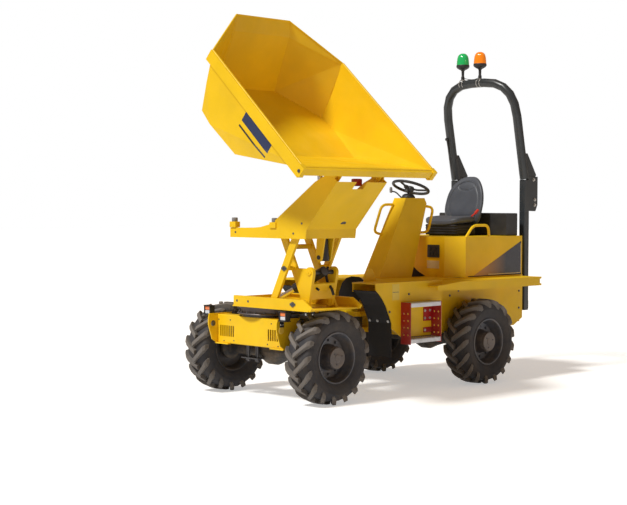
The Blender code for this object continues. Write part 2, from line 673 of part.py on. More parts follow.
def platform():
    """Two formed side plates that rise into the pedestal, with cross members, posts and ram hangers."""
    rise = [(DECK_REAR, DECK_LOW), (DECK_FRONT, DECK_LOW), (DECK_FRONT + 0.010, DECK_HIGH - 0.005),
            (1.040, HINGE.y - 0.035)] + circle(HINGE, 0.040, -0.3, math.pi * 0.8, 8) + [
        (0.800, HINGE.y - 0.035), (0.354, DECK_HIGH + 0.066), (0.296, DECK_HIGH + 0.034),
        (0.178, DECK_HIGH + 0.008),
        (0.060, DECK_HIGH), (DECK_REAR, DECK_HIGH)]
    pieces = []
    cuts = [box((0.90, TURN_Y - 0.060, HINGE.y - 0.090), (1.10, TURN_Y + 0.060, HINGE.y - 0.010))]
    deck = Vector((SCISSOR_X, DECK_PIN_Z))
    for side in (-1, 1):
        low_y, high_y = sorted((TURN_Y + side * SIDE_OUT, TURN_Y + side * SIDE_IN))
        pieces.append(plate(rise, "Y", low_y, high_y))
        low_y, high_y = sorted((TURN_Y + side * (SIDE_OUT - 0.001), TURN_Y + side * BEAM_IN))
        pieces.append(box((DECK_REAR + 0.001, low_y, DECK_LOW + 0.0005),
                          (DECK_FRONT - 0.002, high_y, DECK_LOW + FLANGE)))
        pieces.append(box((DECK_REAR + 0.001, low_y, DECK_HIGH - FLANGE),
                          (0.360, high_y, DECK_HIGH - 0.0005)))
        pieces.append(bar((deck.x, TURN_Y + side * (SIDE_OUT - 0.004), deck.y),
                          (deck.x, TURN_Y + side * (OUTER_Y - ARM_THICK / 2.0 + 0.002), deck.y),
                          PIN_RADIUS, 20))
        low_y, high_y = sorted((TURN_Y + side * (SIDE_IN + 0.002), TURN_Y + side * 0.205))
        pieces.append(bar((HINGE.x, low_y, HINGE.y), (HINGE.x, high_y, HINGE.y), PIN_RADIUS, 20))
        hanger = circle(TIP_BASE, 0.034, -math.pi, 0.0, 8) + [
            (DECK_FRONT - 0.004, DECK_LOW + 0.050), (0.600, DECK_LOW + 0.050)]
        low_y, high_y = sorted((TURN_Y + side * HANGER_IN, TURN_Y + side * (HANGER_IN + 0.014)))
        pieces.append(plate(hanger, "Y", low_y, high_y))
        cuts.append(hole(TIP_BASE, low_y - 0.01, high_y + 0.01, PIN_RADIUS))
        for along in (-0.150, 0.330):
            middle = TURN_Y + side * (SIDE_OUT + BEAM_IN) / 2.0
            pieces.append(box((along - 0.024, middle - 0.012, DECK_HIGH - 0.004),
                              (along + 0.024, middle + 0.012, DECK_HIGH + 0.040)))
            pieces.append(bar((along, middle, DECK_HIGH + 0.030), (along, middle, POST_TOP), POST_RADIUS,
                              16))
    wide = SIDE_OUT - 0.006
    pieces.append(box((DECK_REAR + 0.0015, TURN_Y - wide, DECK_LOW + 0.004),
                      (DECK_REAR + 0.0135, TURN_Y + wide, DECK_HIGH - 0.004)))
    front = [(DECK_FRONT - 0.013, DECK_LOW + 0.002), (DECK_FRONT - 0.001, DECK_LOW + 0.002),
             (DECK_FRONT + 0.008, DECK_HIGH - 0.005), (1.037, HINGE.y - 0.036), (1.022, HINGE.y - 0.036),
             (DECK_FRONT - 0.005, DECK_HIGH - 0.003)]
    pieces.append(plate(front, "Y", TURN_Y - wide, TURN_Y + wide))
    node("platform", pieces, YELLOW, (SCISSOR_X, TURN_Y, DECK_PIN_Z), cuts)


# Skip

def skip():
    """A welded tub: flat floor, ramp to the lip, hexagonal plan, and a raised band round the back."""
    floor_z = -0.312
    rim_z = 0.155
    rows = {
        "floor": [(-0.610, 0.665, floor_z), (-1.138, 0.670, floor_z), (-1.466, 0.330, floor_z)],
        "corner": [(-0.970, 0.695, floor_z), (-1.212, 0.702, -0.090)],
        "rim": [(0.080, 0.717, rim_z), (-1.303, 0.719, rim_z), (-1.610, 0.310, rim_z)],
        "band": [(-1.330, 0.717, rim_z + 0.012), (-1.682, 0.296, 0.265)],
    }

    def build(shape):
        def row(points):
            return [shape.verts.new((x, side * y, z)) for side in (-1, 1) for x, y, z in points]

        fold_n, rear_n, back_n, fold_f, rear_f, back_f = row(rows["floor"])
        lip_n, side_n, top_n, lip_f, side_f, top_f = row(rows["rim"])
        crest_n, crest_f = row(rows["band"][1:])
        toe_n, knee_n, toe_f, knee_f = row(rows["corner"])
        for corners in (
            (fold_n, fold_f, toe_f, rear_f, back_f, back_n, rear_n, toe_n), (lip_n, lip_f, fold_f, fold_n),
            (lip_n, fold_n, toe_n), (lip_n, toe_n, knee_n), (lip_n, knee_n, side_n), (knee_n, toe_n, rear_n),
            (side_n, knee_n, rear_n), (side_n, rear_n, back_n, top_n), (top_n, back_n, back_f, top_f),
            (top_f, back_f, rear_f, side_f), (side_f, rear_f, knee_f), (knee_f, rear_f, toe_f),
            (lip_f, side_f, knee_f), (lip_f, knee_f, toe_f), (lip_f, toe_f, fold_f),
            (side_n, top_n, crest_n),
            (top_n, top_f, crest_f, crest_n), (top_f, side_f, crest_f),
        ):
            shape.faces.new(corners)
        bmesh.ops.triangulate(shape, faces=shape.faces)
        bmesh.ops.recalc_face_normals(shape, faces=shape.faces)

    tub = mesh_object("tub", build)
    wall = tub.modifiers.new("wall", "SOLIDIFY")
    wall.thickness = SHEET
    wall.offset = 0.0
    wall.use_even_offset = True
    tub = baked(tub)
    pieces = [tub]
    for side in (-1, 1):
        low_y, high_y = sorted((side * 0.712, side * 0.745))
        pieces.append(box((-1.303, low_y, rim_z - RIM_DEEP), (0.090, high_y, rim_z + 0.004)))
        low_y, high_y = sorted((side * LUG_Y, side * (LUG_Y + LUG_THICK)))
        lug = circle((0.0, 0.0), 0.040, -math.pi, 0.0, 8) + [(0.040, 0.128), (-0.160, -0.005)]
        pieces.append(plate(lug, "Y", low_y, high_y))
        low_y, high_y = sorted((side * 0.708, side * 0.749))
        pieces.append(box((0.052, low_y, rim_z - 0.074), (0.108, high_y, rim_z + 0.009)))
    pieces.append(box((0.062, -0.735, 0.095), (0.100, 0.735, rim_z + 0.001)))
    eye = to_level(TIP_EYE)
    for side in (-1, 1):
        low_y, high_y = sorted((side * 0.032, side * 0.046))
        bracket = circle(eye, 0.030, -math.pi, 0.0,
                         8) + [(eye.x + 0.060, -0.312 + (eye.x + 0.060 + 0.610) * 0.676),
                                                         (eye.x - 0.060,
                                                          -0.312 + (eye.x - 0.060 + 0.610) * 0.676)]
        pieces.append(plate(bracket, "Y", low_y, high_y))
    cuts = []
    for side in (-1, 1):
        low_y, high_y = sorted((side * (LUG_Y - 0.01), side * (LUG_Y + LUG_THICK + 0.01)))
        cuts.append(bar((0, low_y, 0), (0, high_y, 0), PIN_RADIUS + PIN_CLEAR))
    made = node("skip", pieces, YELLOW, (0, 0, 0), cuts)
    made.location = (HINGE.x, TURN_Y, HINGE.y)
    made.rotation_euler = (0.0, TILT, 0.0)


def to_level(point):
    """A tipped point of the skip's middle plane, in the skip's own level frame about its hinge."""
    rel = point - HINGE
    return Vector((rel.x * math.cos(TILT) - rel.y * math.sin(TILT), rel.x * math.sin(TILT) +
                   rel.y * math.cos(TILT)))


# Rams

def ram(name, base, eye, barrel_radius, rod_radius, barrel_length, stroke, trunnion):
    """A hydraulic cylinder in the skip's middle plane, as a barrel with its bore and a rod with its eye."""
    along = (eye - base).normalized()

    def spot(distance, side=0.0):
        point = base + along * distance
        return Vector((point.x, TURN_Y + side, point.y))

    body = bar(spot(-RAM_END), spot(barrel_length), barrel_radius, 24)
    pin = bar(spot(0.0, -trunnion), spot(0.0, trunnion), PIN_RADIUS, 16)
    bore = bar(spot(BORE_START), spot(barrel_length + 0.02), rod_radius + ROD_CLEAR, 20)
    node(name + "_barrel", [body, pin], BLACK, spot(0.0), [bore])
    length = (eye - base).length
    rod = bar(spot(BORE_START + RAM_PISTON_GAP + stroke), spot(length - 0.010), rod_radius, 20)
    eye_ring = bar(spot(length, -EYE_HALF), spot(length, EYE_HALF), EYE_HALF, 20)
    node(name + "_rod", [rod, eye_ring], CHROME, spot(length))


# Rear machine

def rear_frame():
    """The rear chassis: rails, a box on each side, the walls inside the wheels, and the pivot forks."""
    under = FLOOR_Z - FLOOR_THICK
    inner = COWL_HALF - PANEL
    pieces = [box((0.001 - BOX_HALF, NOTCH_Y, under), (BOX_HALF - 0.001, BOX_REAR - 0.001, FLOOR_Z)),
              box((-COWL_HALF + 0.001, BOX_REAR - 0.020, under + 0.001),
                  (COWL_HALF - 0.001, COWL_FRONT + 0.040, FLOOR_Z - GAP)),
              box((0.004 - BOX_HALF, PIVOT_Y + 0.110, BOX_LOW + 0.001),
                  (BOX_HALF - 0.004, PIVOT_Y + 0.130, under + 0.004))]
    outside = [(BOX_NOSE, FLOOR_Z), (BOX_NOSE, FLOOR_Z - 0.055), (BOX_NOSE + 0.041, FLOOR_Z - 0.087),
               (BOX_NOSE + 0.086, FLOOR_Z - 0.132), (BOX_NOSE + 0.131, FLOOR_Z - 0.195),
               (BOX_NOSE + 0.178, FLOOR_Z - 0.290), (BOX_NOSE + 0.201, FLOOR_Z - 0.341),
               (BOX_NOSE + 0.204, FLOOR_Z - 0.391), (BOX_NOSE + 0.326, BOX_LOW), (BOX_REAR, BOX_LOW),
               (BOX_REAR, FLOOR_Z)]
    inside = [(BOX_NOSE + 0.010, FLOOR_Z - 0.080), (NOTCH_Y + 0.010, FLOOR_Z - 0.080),
              (NOTCH_Y + 0.010, FLOOR_Z - 0.001),
              (NOTCH_Y - 0.045, FLOOR_Z - 0.001), (NOTCH_Y - 0.062, FLOOR_Z + 0.053),
              (NOTCH_Y - 0.090, FLOOR_Z + 0.100),
              (NOTCH_Y - 0.118, FLOOR_Z + 0.110), (NOTCH_Y - 0.150, FLOOR_Z + 0.102),
              (NOTCH_Y - 0.180, FLOOR_Z + 0.055),
              (NOTCH_Y - 0.195, FLOOR_Z - 0.001), (BOX_NOSE + 0.010, FLOOR_Z - 0.001)]
    wall = [(BOX_REAR - 0.012, BOX_LOW - 0.005), (COWL_REAR - 0.121, BOX_LOW - 0.005),
            (COWL_REAR + 0.009, BOX_LOW + 0.061),
            (COWL_REAR + 0.009, FLOOR_Z - GAP), (BOX_REAR - 0.012, FLOOR_Z - GAP)]
    for _, side in SIDES:
        low_x, high_x = sorted((side * BOX_HALF, side * (BOX_HALF - PLATE)))
        pieces.append(plate(outside, "X", low_x, high_x))
        low_x, high_x = sorted((side * (BOX_IN - PLATE), side * BOX_IN))
        pieces.append(plate(inside, "X", low_x, high_x))
        low_x, high_x = sorted((side * (BOX_IN - 0.005), side * (BOX_HALF - 0.001)))
        pieces.append(box((low_x, BOX_NOSE + 0.0005, under + 0.0005),
                          (high_x, NOTCH_Y + 0.010, FLOOR_Z - 0.0005)))
        low_x, high_x = sorted((side * COWL_HALF, side * inner))
        pieces.append(plate(wall, "X", low_x, high_x))
        low_x, high_x = sorted((side * (inner + 0.002), side * (BOX_HALF - 0.0005)))
        pieces.append(box((low_x, BOX_REAR - 0.010, BOX_LOW + 0.0005),
                          (high_x, BOX_REAR - 0.0005, FLOOR_Z - 0.003)))
        low_x, high_x = sorted((side * RAIL_IN, side * RAIL_OUT))
        pieces.append(box((low_x, PIVOT_Y + 0.112, RAIL_LOW), (high_x, POST_Y - POST_HALF - GAP, RAIL_HIGH)))
        low_x, high_x = sorted((side * (RAIL_OUT - 0.045), side * (RAIL_OUT + 0.002)))
        pieces.append(box((low_x, WHEELBASE - 0.060, TYRE_RADIUS + AXLE_RADIUS + GAP),
                          (high_x, WHEELBASE + 0.060, RAIL_LOW + 0.010)))
    pieces.append(box((0.002 - COWL_HALF, COWL_REAR - 0.050, RAIL_LOW + 0.001),
                      (COWL_HALF - 0.002, COWL_REAR - 0.030, RAIL_HIGH - 0.001)))
    neck_low = FRAME_TOP - FRAME_DEEP + 0.020
    for bottom in (neck_low - PIN_CLEAR - 0.040, neck_low + 0.100 + PIN_CLEAR):
        pieces.append(bar((0, PIVOT_Y, bottom), (0, PIVOT_Y, bottom + 0.040), 0.070, 24))
        pieces.append(box((-0.060, PIVOT_Y, bottom + 0.0005), (0.060, PIVOT_Y + 0.120, bottom + 0.0395)))
    node("rear_frame", pieces, YELLOW)
    node("engine_block", [box((GAP - RAIL_IN, COWL_FRONT + 0.050, RAIL_LOW + 0.100),
                              (RAIL_IN - GAP, COWL_REAR - 0.310, FLOOR_Z + 0.255), 0.01)], BLACK)


def fittings():
    """Rubber flaps behind the front wheels and the rubber guard in front of the floor."""
    front = [(BOX_NOSE + 0.006, FLOOR_Z - 0.068), (BOX_NOSE + 0.041, FLOOR_Z - 0.092),
             (BOX_NOSE + 0.086, FLOOR_Z - 0.137),
             (BOX_NOSE + 0.131, FLOOR_Z - 0.200), (BOX_NOSE + 0.178, FLOOR_Z - 0.295),
             (BOX_NOSE + 0.199, FLOOR_Z - 0.345),
             (BOX_NOSE + 0.201, FLAP_LOW)]
    back = [(y + FLAP_THICK, z + 0.4 * FLAP_THICK) for y, z in reversed(front[:-1])]
    sheet = front + [(front[-1][0] + FLAP_THICK, FLAP_LOW)] + back
    for name, side in SIDES:
        low_x, high_x = sorted((side * FLAP_IN, side * (BOX_HALF - PLATE - GAP)))
        node("flap_" + name, [plate(sheet, "X", low_x, high_x)], BLACK)
    outline = [(-0.160, 0.700), (-0.160, 0.825), (-0.120, 0.912), (-0.070, 0.953), (-0.010, 0.970),
               (0.080, 0.968),
               (0.140, 0.940), (0.186, 0.900), (0.100, 0.840), (0.086, 0.780), (0.073, 0.712),
               (0.055, 0.682), (-0.079, 0.710)]
    lift = FLOOR_Z - 0.945
    raised = [(x, z + lift) for x, z in outline]
    node("hose_guard", [plate(raised, "Y", NOTCH_Y - 0.010 - GAP, NOTCH_Y - GAP)], BLACK)


def cowl():
    """The engine cover: a sheet shell, open below, with chamfered front corners."""
    across, along = COWL_CHAMFER

    def outline(inset):
        half = COWL_HALF - inset
        front = COWL_FRONT + inset
        rear = COWL_REAR - inset
        return [(-half, rear), (-half, front + along), (across - half, front), (half - across, front),
                (half, front + along), (half, rear)]

    shell = plate(outline(0.0), "Z", FLOOR_Z, COWL_HIGH)
    hollow = plate(outline(SKIN), "Z", FLOOR_Z - 0.02, COWL_HIGH - SKIN)
    node("cowl", [shell], YELLOW, cuts=[hollow])
    node("rear_box", [box((-0.400, COWL_REAR - 0.200, COWL_HIGH + GAP),
                          (0.430, COWL_REAR - 0.030, COWL_HIGH + 0.212), 0.008)],
         BLACK)


def controls():
    """The leaning column, the steering wheel and the seat."""
    side_outline = [(COLUMN_FRONT, FLOOR_Z + GAP), (COLUMN_REAR, FLOOR_Z + GAP),
                    (COLUMN_REAR + 0.234, COLUMN_TOP - 0.050),
                    (COLUMN_REAR + 0.206, COLUMN_TOP), (COLUMN_FRONT + 0.381, COLUMN_TOP)]
    stem = plate(side_outline, "X", -COLUMN_HALF, COLUMN_HALF)
    for corner in stem.data.vertices:
        corner.co.x *= 1.0 - COLUMN_TAPER * (corner.co.z - FLOOR_Z) / (COLUMN_TOP - FLOOR_Z)
    node("column", [stem], YELLOW)
    hub = WHEEL_HUB
    lean = Vector((0.0, 0.35, 0.94)).normalized()
    shaft = (hub.z - COLUMN_TOP - GAP - 0.022 * lean.y) / lean.z
    rim_points = []
    side = Vector((1.0, 0.0, 0.0))
    up = lean.cross(side)
    for step in range(24):
        turn = 2.0 * math.pi * step / 24
        rim_points.append(hub + WHEEL_RADIUS * (math.cos(turn) * side + math.sin(turn) * up))
    pieces = [pipe(rim_points, 0.013, 1, cyclic=True), bar(hub - shaft * lean, hub + 0.012 * lean, 0.022,
                                                           16)]
    for step in range(3):
        turn = 2.0 * math.pi * (step / 3 + 0.25)
        pieces.append(bar(hub, hub + (WHEEL_RADIUS - 0.005) * (math.cos(turn) * side +
                                                               math.sin(turn) * up), 0.010, 10))
    node("steering_wheel", pieces, BLACK, hub)
    node("seat_base", [box((-0.180, SEAT_FRONT + 0.040, COWL_HIGH + GAP), (0.180, SEAT_REAR, SEAT_LOW),
                           0.02)], BLACK)
    node("seat_cushion", [box((-SEAT_HALF, SEAT_FRONT, SEAT_LOW + GAP), (SEAT_HALF, SEAT_REAR, SEAT_HIGH),
                              0.03, 2)], BLACK)
    back = SEAT_REAR + GAP
    node("seat_back", [box((-SEAT_HALF, back, SEAT_LOW - 0.030),
                           (SEAT_HALF, back + SEAT_BACK_THICK, SEAT_TOP), 0.04, 3)],
         BLACK)


def decks():
    nose_low = DECK_NOSE_TOP - DECK_SHEET
    for name, side in SIDES:
        low_x, high_x = sorted((side * (COWL_HALF + GAP), side * DECK_OUT))
        flat = [(BOX_REAR + GAP, DECK_TOP - DECK_SHEET - 0.020), (DECK_BEND, DECK_TOP - DECK_SHEET),
                (DECK_END, DECK_TOP - DECK_SHEET), (DECK_END, DECK_TOP), (DECK_BEND, DECK_TOP),
                (BOX_REAR + GAP, DECK_TOP - 0.020)]
        pieces = [plate(flat, "X", low_x, high_x)]
        low_x, high_x = sorted((side * (BOX_HALF + GAP), side * (DECK_OUT - 0.001)))
        nose = [(DECK_NOSE, nose_low), (BOX_REAR + 0.006, DECK_TOP - DECK_SHEET - 0.0195),
                (BOX_REAR + 0.006, DECK_TOP - 0.0205), (DECK_NOSE, DECK_NOSE_TOP)]
        pieces.append(plate(nose, "X", low_x, high_x))
        low_x, high_x = sorted((side * (DECK_OUT - 0.009), side * (DECK_OUT + 0.001)))
        lip_low = DECK_TOP - DECK_LIP
        edge = [(DECK_NOSE, nose_low - 0.025), (DECK_BEND, lip_low), (DECK_END + 0.002, lip_low),
                (DECK_END + 0.002, lip_low + 0.016),
                (DECK_END - 0.022, lip_low + 0.020), (DECK_END - 0.022, DECK_TOP - 0.020),
                (DECK_END + 0.002, DECK_TOP - 0.016),
                (DECK_END + 0.002, DECK_TOP + 0.001), (DECK_BEND, DECK_TOP + 0.001),
                (DECK_NOSE, DECK_NOSE_TOP + 0.001)]
        pieces.append(plate(edge, "X", low_x, high_x))
        node("deck_" + name, pieces, YELLOW)
        low_x, high_x = sorted((side * (BOX_HALF + GAP), side * STEP_OUT))
        upper, lower = UPPER_TREAD, LOWER_TREAD
        steps = [box((low_x, STEP_FRONT, lower - 0.010),
                     (high_x, STEP_FRONT + STEP_PLATE, upper + TREAD_HIGH)),
                 box((low_x, STEP_REAR - STEP_PLATE, lower + 0.002),
                     (high_x, STEP_REAR, upper + TREAD_HIGH - 0.002))]
        tread_in, tread_out = sorted((side * (BOX_HALF + 0.004), side * (STEP_OUT - 0.001)))
        for low in (upper, lower):
            steps.append(box((tread_in, STEP_FRONT + 0.002, low),
                             (tread_out, STEP_REAR - 0.002, low + TREAD_HIGH - 0.001)))
        foot_in, foot_out = sorted((side * (BOX_HALF + GAP + 0.0002), side * (BOX_HALF + 0.008)))
        for low, high, start in ((upper - 0.120, upper - 0.010, 0.115),
                                 (lower + 0.070, lower + 0.110, 0.115),
                                 (upper - 0.200, upper - 0.010, 0.020)):
            end = STEP_REAR if start > 0.05 else STEP_FRONT + start
            steps.append(box((foot_in, end - start, low), (foot_out, end - 0.001, high)))
        node("steps_" + name, steps, RED)


def rops():
    """Two lower posts on a cross beam, and a folding hoop hinged behind them that leans forward."""
    wide = POST_X + POST_HALF
    pieces = [box((0.001 - wide, POST_Y - POST_HALF, POST_LOW + 0.020),
                  (wide - 0.001, POST_Y + POST_HALF - 0.001, POST_LOW + 0.090))]
    low, high = ROPS_JOINT_Z - 0.300, ROPS_JOINT_Z + 0.030
    rear = ROPS_PIVOT.x + CHEEK_REAR
    open_y = POST_Y + POST_HALF + 0.008
    cheek = [(POST_Y, low + 0.005), (rear - 0.032, low), (rear, low + 0.060), (rear, high), (open_y, high),
             (open_y, ROPS_JOINT_Z - 0.012), (POST_Y, ROPS_JOINT_Z - 0.012)]
    for _, side in SIDES:
        middle = side * POST_X
        pieces.append(box((middle - POST_HALF, POST_Y - POST_HALF + 0.001, POST_LOW),
                          (middle + POST_HALF, POST_Y + POST_HALF, ROPS_JOINT_Z - GAP), 0.006))
        for way in (-1, 1):
            near = HOOP_PLATE / 2.0 + 0.0005
            low_x, high_x = sorted((middle + way * near, middle + way * (near + 0.008)))
            pieces.append(plate(cheek, "X", low_x, high_x))
    pin = 0.010
    cuts = [bar((-wide - 0.05, ROPS_PIVOT.x, ROPS_PIVOT.y), (wide + 0.05, ROPS_PIVOT.x, ROPS_PIVOT.y),
                pin + PIN_CLEAR, 12)]
    node("rops_posts", pieces, BLACK, cuts=cuts)
    lean = ROPS_LEAN / (ROPS_TOP - ROPS_JOINT_Z)

    def spot(x, z):
        return (x, POST_Y - lean * (z - ROPS_JOINT_Z), z)

    bend_z = ROPS_TOP - TUBE_RADIUS - HOOP_CORNER
    points = [spot(-POST_X, ROPS_JOINT_Z + 0.0075), spot(-POST_X, bend_z - 0.05)]
    for step in range(7):
        turn = math.pi - (math.pi / 2.0) * step / 6
        points.append(spot(HOOP_CORNER - POST_X + HOOP_CORNER * math.cos(turn),
                           bend_z + HOOP_CORNER * math.sin(turn)))
    points += [(-x, y, z) for x, y, z in reversed(points)]
    pieces = [pipe(points, TUBE_RADIUS, 3)]
    ear = [(POST_Y + 0.010, high + 0.220), (POST_Y + 0.062, high + 0.220),
           (ROPS_PIVOT.x + 0.055, high + 0.015)] + circle(
        ROPS_PIVOT, 0.028, 0.2, -math.pi * 0.75, 6) + [(POST_Y + POST_HALF + 0.012, ROPS_JOINT_Z + 0.040),
                                                       (POST_Y + 0.010, ROPS_JOINT_Z + 0.060)]
    for _, side in SIDES:
        middle = side * POST_X
        low_x, high_x = middle - HOOP_PLATE / 2.0, middle + HOOP_PLATE / 2.0
        pieces.append(plate(ear, "X", low_x, high_x))
        pieces.append(bar((low_x - 0.018, ROPS_PIVOT.x, ROPS_PIVOT.y),
                          (high_x + 0.018, ROPS_PIVOT.x, ROPS_PIVOT.y), pin, 12))
    node("hoop", pieces, BLACK, (0, ROPS_PIVOT.x, ROPS_PIVOT.y))
    for name, along, look in (("green", -0.200, GREEN), ("amber", 0.020, AMBER)):
        foot = spot(along, ROPS_TOP)
        profile = [(0.0, 0.240), (0.020, 0.236), (0.045, 0.210), (0.050, 0.150), (0.055, 0.125),
                   (0.030, 0.110),
                   (0.012, 0.100), (0.012, -0.0008), (0.0, -0.0008)]
        node("beacon_" + name, [turned(profile, foot, "Z", 20)], look, foot)


def main():
    wheels()
    axle("front_axle", 0.0)
    axle("rear_axle", WHEELBASE)
    front_frame()
    bumper()
    turntable()
    inner_arms()
    outer_arms()
    platform()
    skip()
    ram("lift", EAR, LIFT_EYE, LIFT_BARREL, LIFT_ROD, LIFT_LENGTH, LIFT_STROKE, INNER_Y + ARM_THICK / 2.0)
    ram("tip", TIP_BASE, TIP_EYE, TIP_BARREL, TIP_ROD, TIP_LENGTH, TIP_STROKE, HANGER_IN + 0.018)
    rear_frame()
    fittings()
    cowl()
    controls()
    decks()
    rops()


main()
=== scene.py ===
import math

import bpy
from mathutils import Matrix, Quaternion, Vector


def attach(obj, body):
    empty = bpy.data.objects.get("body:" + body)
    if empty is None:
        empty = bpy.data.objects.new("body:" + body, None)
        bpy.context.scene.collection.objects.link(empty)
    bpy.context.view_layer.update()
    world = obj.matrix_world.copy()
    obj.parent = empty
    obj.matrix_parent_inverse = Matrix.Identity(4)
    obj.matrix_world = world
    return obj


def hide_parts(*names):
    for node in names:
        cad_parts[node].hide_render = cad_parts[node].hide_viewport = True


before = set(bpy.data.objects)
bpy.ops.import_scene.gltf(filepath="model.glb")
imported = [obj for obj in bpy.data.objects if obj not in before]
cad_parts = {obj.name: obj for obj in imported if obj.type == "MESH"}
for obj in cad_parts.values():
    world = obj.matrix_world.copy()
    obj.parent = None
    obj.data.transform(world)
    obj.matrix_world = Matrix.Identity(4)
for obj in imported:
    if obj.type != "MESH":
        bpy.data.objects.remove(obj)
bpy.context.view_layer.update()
bpy.ops.object.select_all(action="DESELECT")

# Points below are measured from the ground under the middle of the front axle.
# SHIFT brings them into the frame.
SHIFT = Vector((-0.2076, -1.1155, 0.0))
WHEELBASE = 1.932
HALF_TRACK = 0.615
TYRE_R = 0.380
TURN_Y = -0.050
TILT = math.radians(42.3)
HINGE = Vector((0.970, TURN_Y, 1.80986))
BOX_FACE_Y = -0.2745
BODY_SIDE_X = 0.5903
COWL_SIDE_X = 0.460
SIDES = (("left", 1), ("right", -1))
CORNERS = (("front_left", 1, 0.0), ("front_right", -1, 0.0),
           ("rear_left", 1, WHEELBASE), ("rear_right", -1, WHEELBASE))


# Camera

PHOTO_WIDE = 627.0
FOCAL_PIXELS = 1384.5
CAMERA_AT = Vector((8.3998, -7.8286, 1.6125))
camera_data = bpy.data.cameras.new("camera")
camera_data.sensor_width = 36.0
camera_data.lens = FOCAL_PIXELS * camera_data.sensor_width / PHOTO_WIDE
camera_data.clip_end = 200.0
camera = bpy.data.objects.new("camera", camera_data)
bpy.context.scene.collection.objects.link(camera)
yaw, pitch, roll = -0.7930, 0.0358, 0.0032
ahead = Vector((math.cos(pitch) * math.sin(yaw), math.cos(pitch) * math.cos(yaw), -math.sin(pitch)))
turned_to = ahead.to_track_quat("-Z", "Y") @ Quaternion((0.0, 0.0, 1.0), roll)
camera.matrix_world = Matrix.Translation(CAMERA_AT + SHIFT) @ turned_to.to_matrix().to_4x4()
bpy.context.scene.camera = camera


# Finishes

class Nodes:
    """A material's node tree, with short calls for the nodes that the finishes share."""

    def __init__(self, name):
        self.material = bpy.data.materials.new(name)
        self.material.use_nodes = True
        self.tree = self.material.node_tree
        self.shader = self.tree.nodes["Principled BSDF"]
        self.place = self.add("ShaderNodeTexCoord").outputs["Object"]

    def add(self, kind, **values):
        made = self.tree.nodes.new(kind)
        for key, value in values.items():
            setattr(made, key, value)
        return made

    def link(self, source, target):
        self.tree.links.new(source, target)

    def noise(self, scale, detail=4.0, rough=0.55, stretch=(1.0, 1.0, 1.0)):
        mapping = self.add("ShaderNodeMapping")
        mapping.inputs["Scale"].default_value = stretch
        self.link(self.place, mapping.inputs["Vector"])
        made = self.add("ShaderNodeTexNoise")
        made.inputs["Scale"].default_value = scale
        made.inputs["Detail"].default_value = detail
        made.inputs["Roughness"].default_value = rough
        self.link(mapping.outputs["Vector"], made.inputs["Vector"])
        return made.outputs["Fac"]

    def ramp(self, source, stops):
        made = self.add("ShaderNodeValToRGB")
        band = made.color_ramp
        while len(band.elements) < len(stops):
            band.elements.new(0.5)
        for element, (place, value) in zip(band.elements, stops):
            element.position = place
            element.color = (value, value, value, 1.0) if isinstance(value, float) else (*value, 1.0)
        self.link(source, made.inputs["Fac"])
        return made.outputs["Color"]

    def mix(self, share, first, second):
        made = self.add("ShaderNodeMix", data_type="RGBA")
        if isinstance(share, float):
            made.inputs["Factor"].default_value = share
        else:
            self.link(share, made.inputs["Factor"])
        for socket, value in (("A", first), ("B", second)):
            target = [s for s in made.inputs if s.name == socket and s.type == "RGBA"][0]
            if isinstance(value, tuple):
                target.default_value = (*value, 1.0)
            else:
                self.link(value, target)
        return [s for s in made.outputs if s.type == "RGBA"][0]

    def math(self, operation, first, second):
        made = self.add("ShaderNodeMath", operation=operation)
        for target, value in zip(made.inputs, (first, second)):
            if isinstance(value, float):
                target.default_value = value
            else:
                self.link(value, target)
        return made.outputs[0]

    def height(self, low, high, first, last):
        """A value that runs from first to last as the piece rises from low to high."""
        split = self.add("ShaderNodeSeparateXYZ")
        self.link(self.place, split.inputs[0])
        made = self.add("ShaderNodeMapRange")
        self.link(split.outputs["Z"], made.inputs["Value"])
        made.inputs["From Min"].default_value = low
        made.inputs["From Max"].default_value = high
        made.inputs["To Min"].default_value = first
        made.inputs["To Max"].default_value = last
        return made.outputs["Result"]

    def bump(self, source, strength, distance):
        made = self.add("ShaderNodeBump")
        made.inputs["Strength"].default_value = strength
        made.inputs["Distance"].default_value = distance
        self.link(source, made.inputs["Height"])
        self.link(made.outputs["Normal"], self.shader.inputs["Normal"])

    def set(self, **values):
        for key, value in values.items():
            socket = self.shader.inputs[key.replace("_", " ")]
            if isinstance(value, (float, int)):
                socket.default_value = value
            elif isinstance(value, tuple):
                socket.default_value = (*value, 1.0)
            else:
                self.link(value, socket)


ROAD_DUST = (0.24, 0.18, 0.12)


def painted(name, colour, rough, metal=0.0, dust=0.35, coat=0.0, grain=0.10, shine=0.5):
    """Sprayed paint with a slight orange peel, rubbed spots and road dust that thickens lower down."""
    look = Nodes(name)
    patches = look.noise(2.2, 5.0)
    specks = look.noise(95.0, 3.0, 0.7)
    darker = tuple(c * 0.86 for c in colour)
    base = look.mix(look.ramp(patches, ((0.35, 0.0), (0.70, 1.0))), colour, darker)
    rubbed = look.ramp(look.noise(17.0, 8.0, 0.75), ((0.66, 0.0), (0.74, 1.0)))
    base = look.mix(look.math("MULTIPLY", rubbed, 0.35), base,
                    tuple(min(1.0, c * 1.15 + 0.03) for c in colour))
    settled = look.math("MULTIPLY", look.ramp(look.noise(7.0, 9.0, 0.7), ((0.42, 0.0), (0.66, 1.0))),
                        look.height(0.35, 1.15, dust, 0.03))
    base = look.mix(settled, base, ROAD_DUST)
    look.set(Base_Color=base, Metallic=metal, Coat_Weight=coat, Coat_Roughness=0.12,
             Specular_IOR_Level=shine)
    rough_map = look.ramp(look.noise(9.0, 6.0), ((0.30, max(0.05, rough - 0.08)), (0.75, rough + 0.16)))
    look.set(Roughness=rough_map)
    look.bump(look.math("ADD", specks, look.math("MULTIPLY", patches, 2.0)), grain, 0.0006)
    return look.material


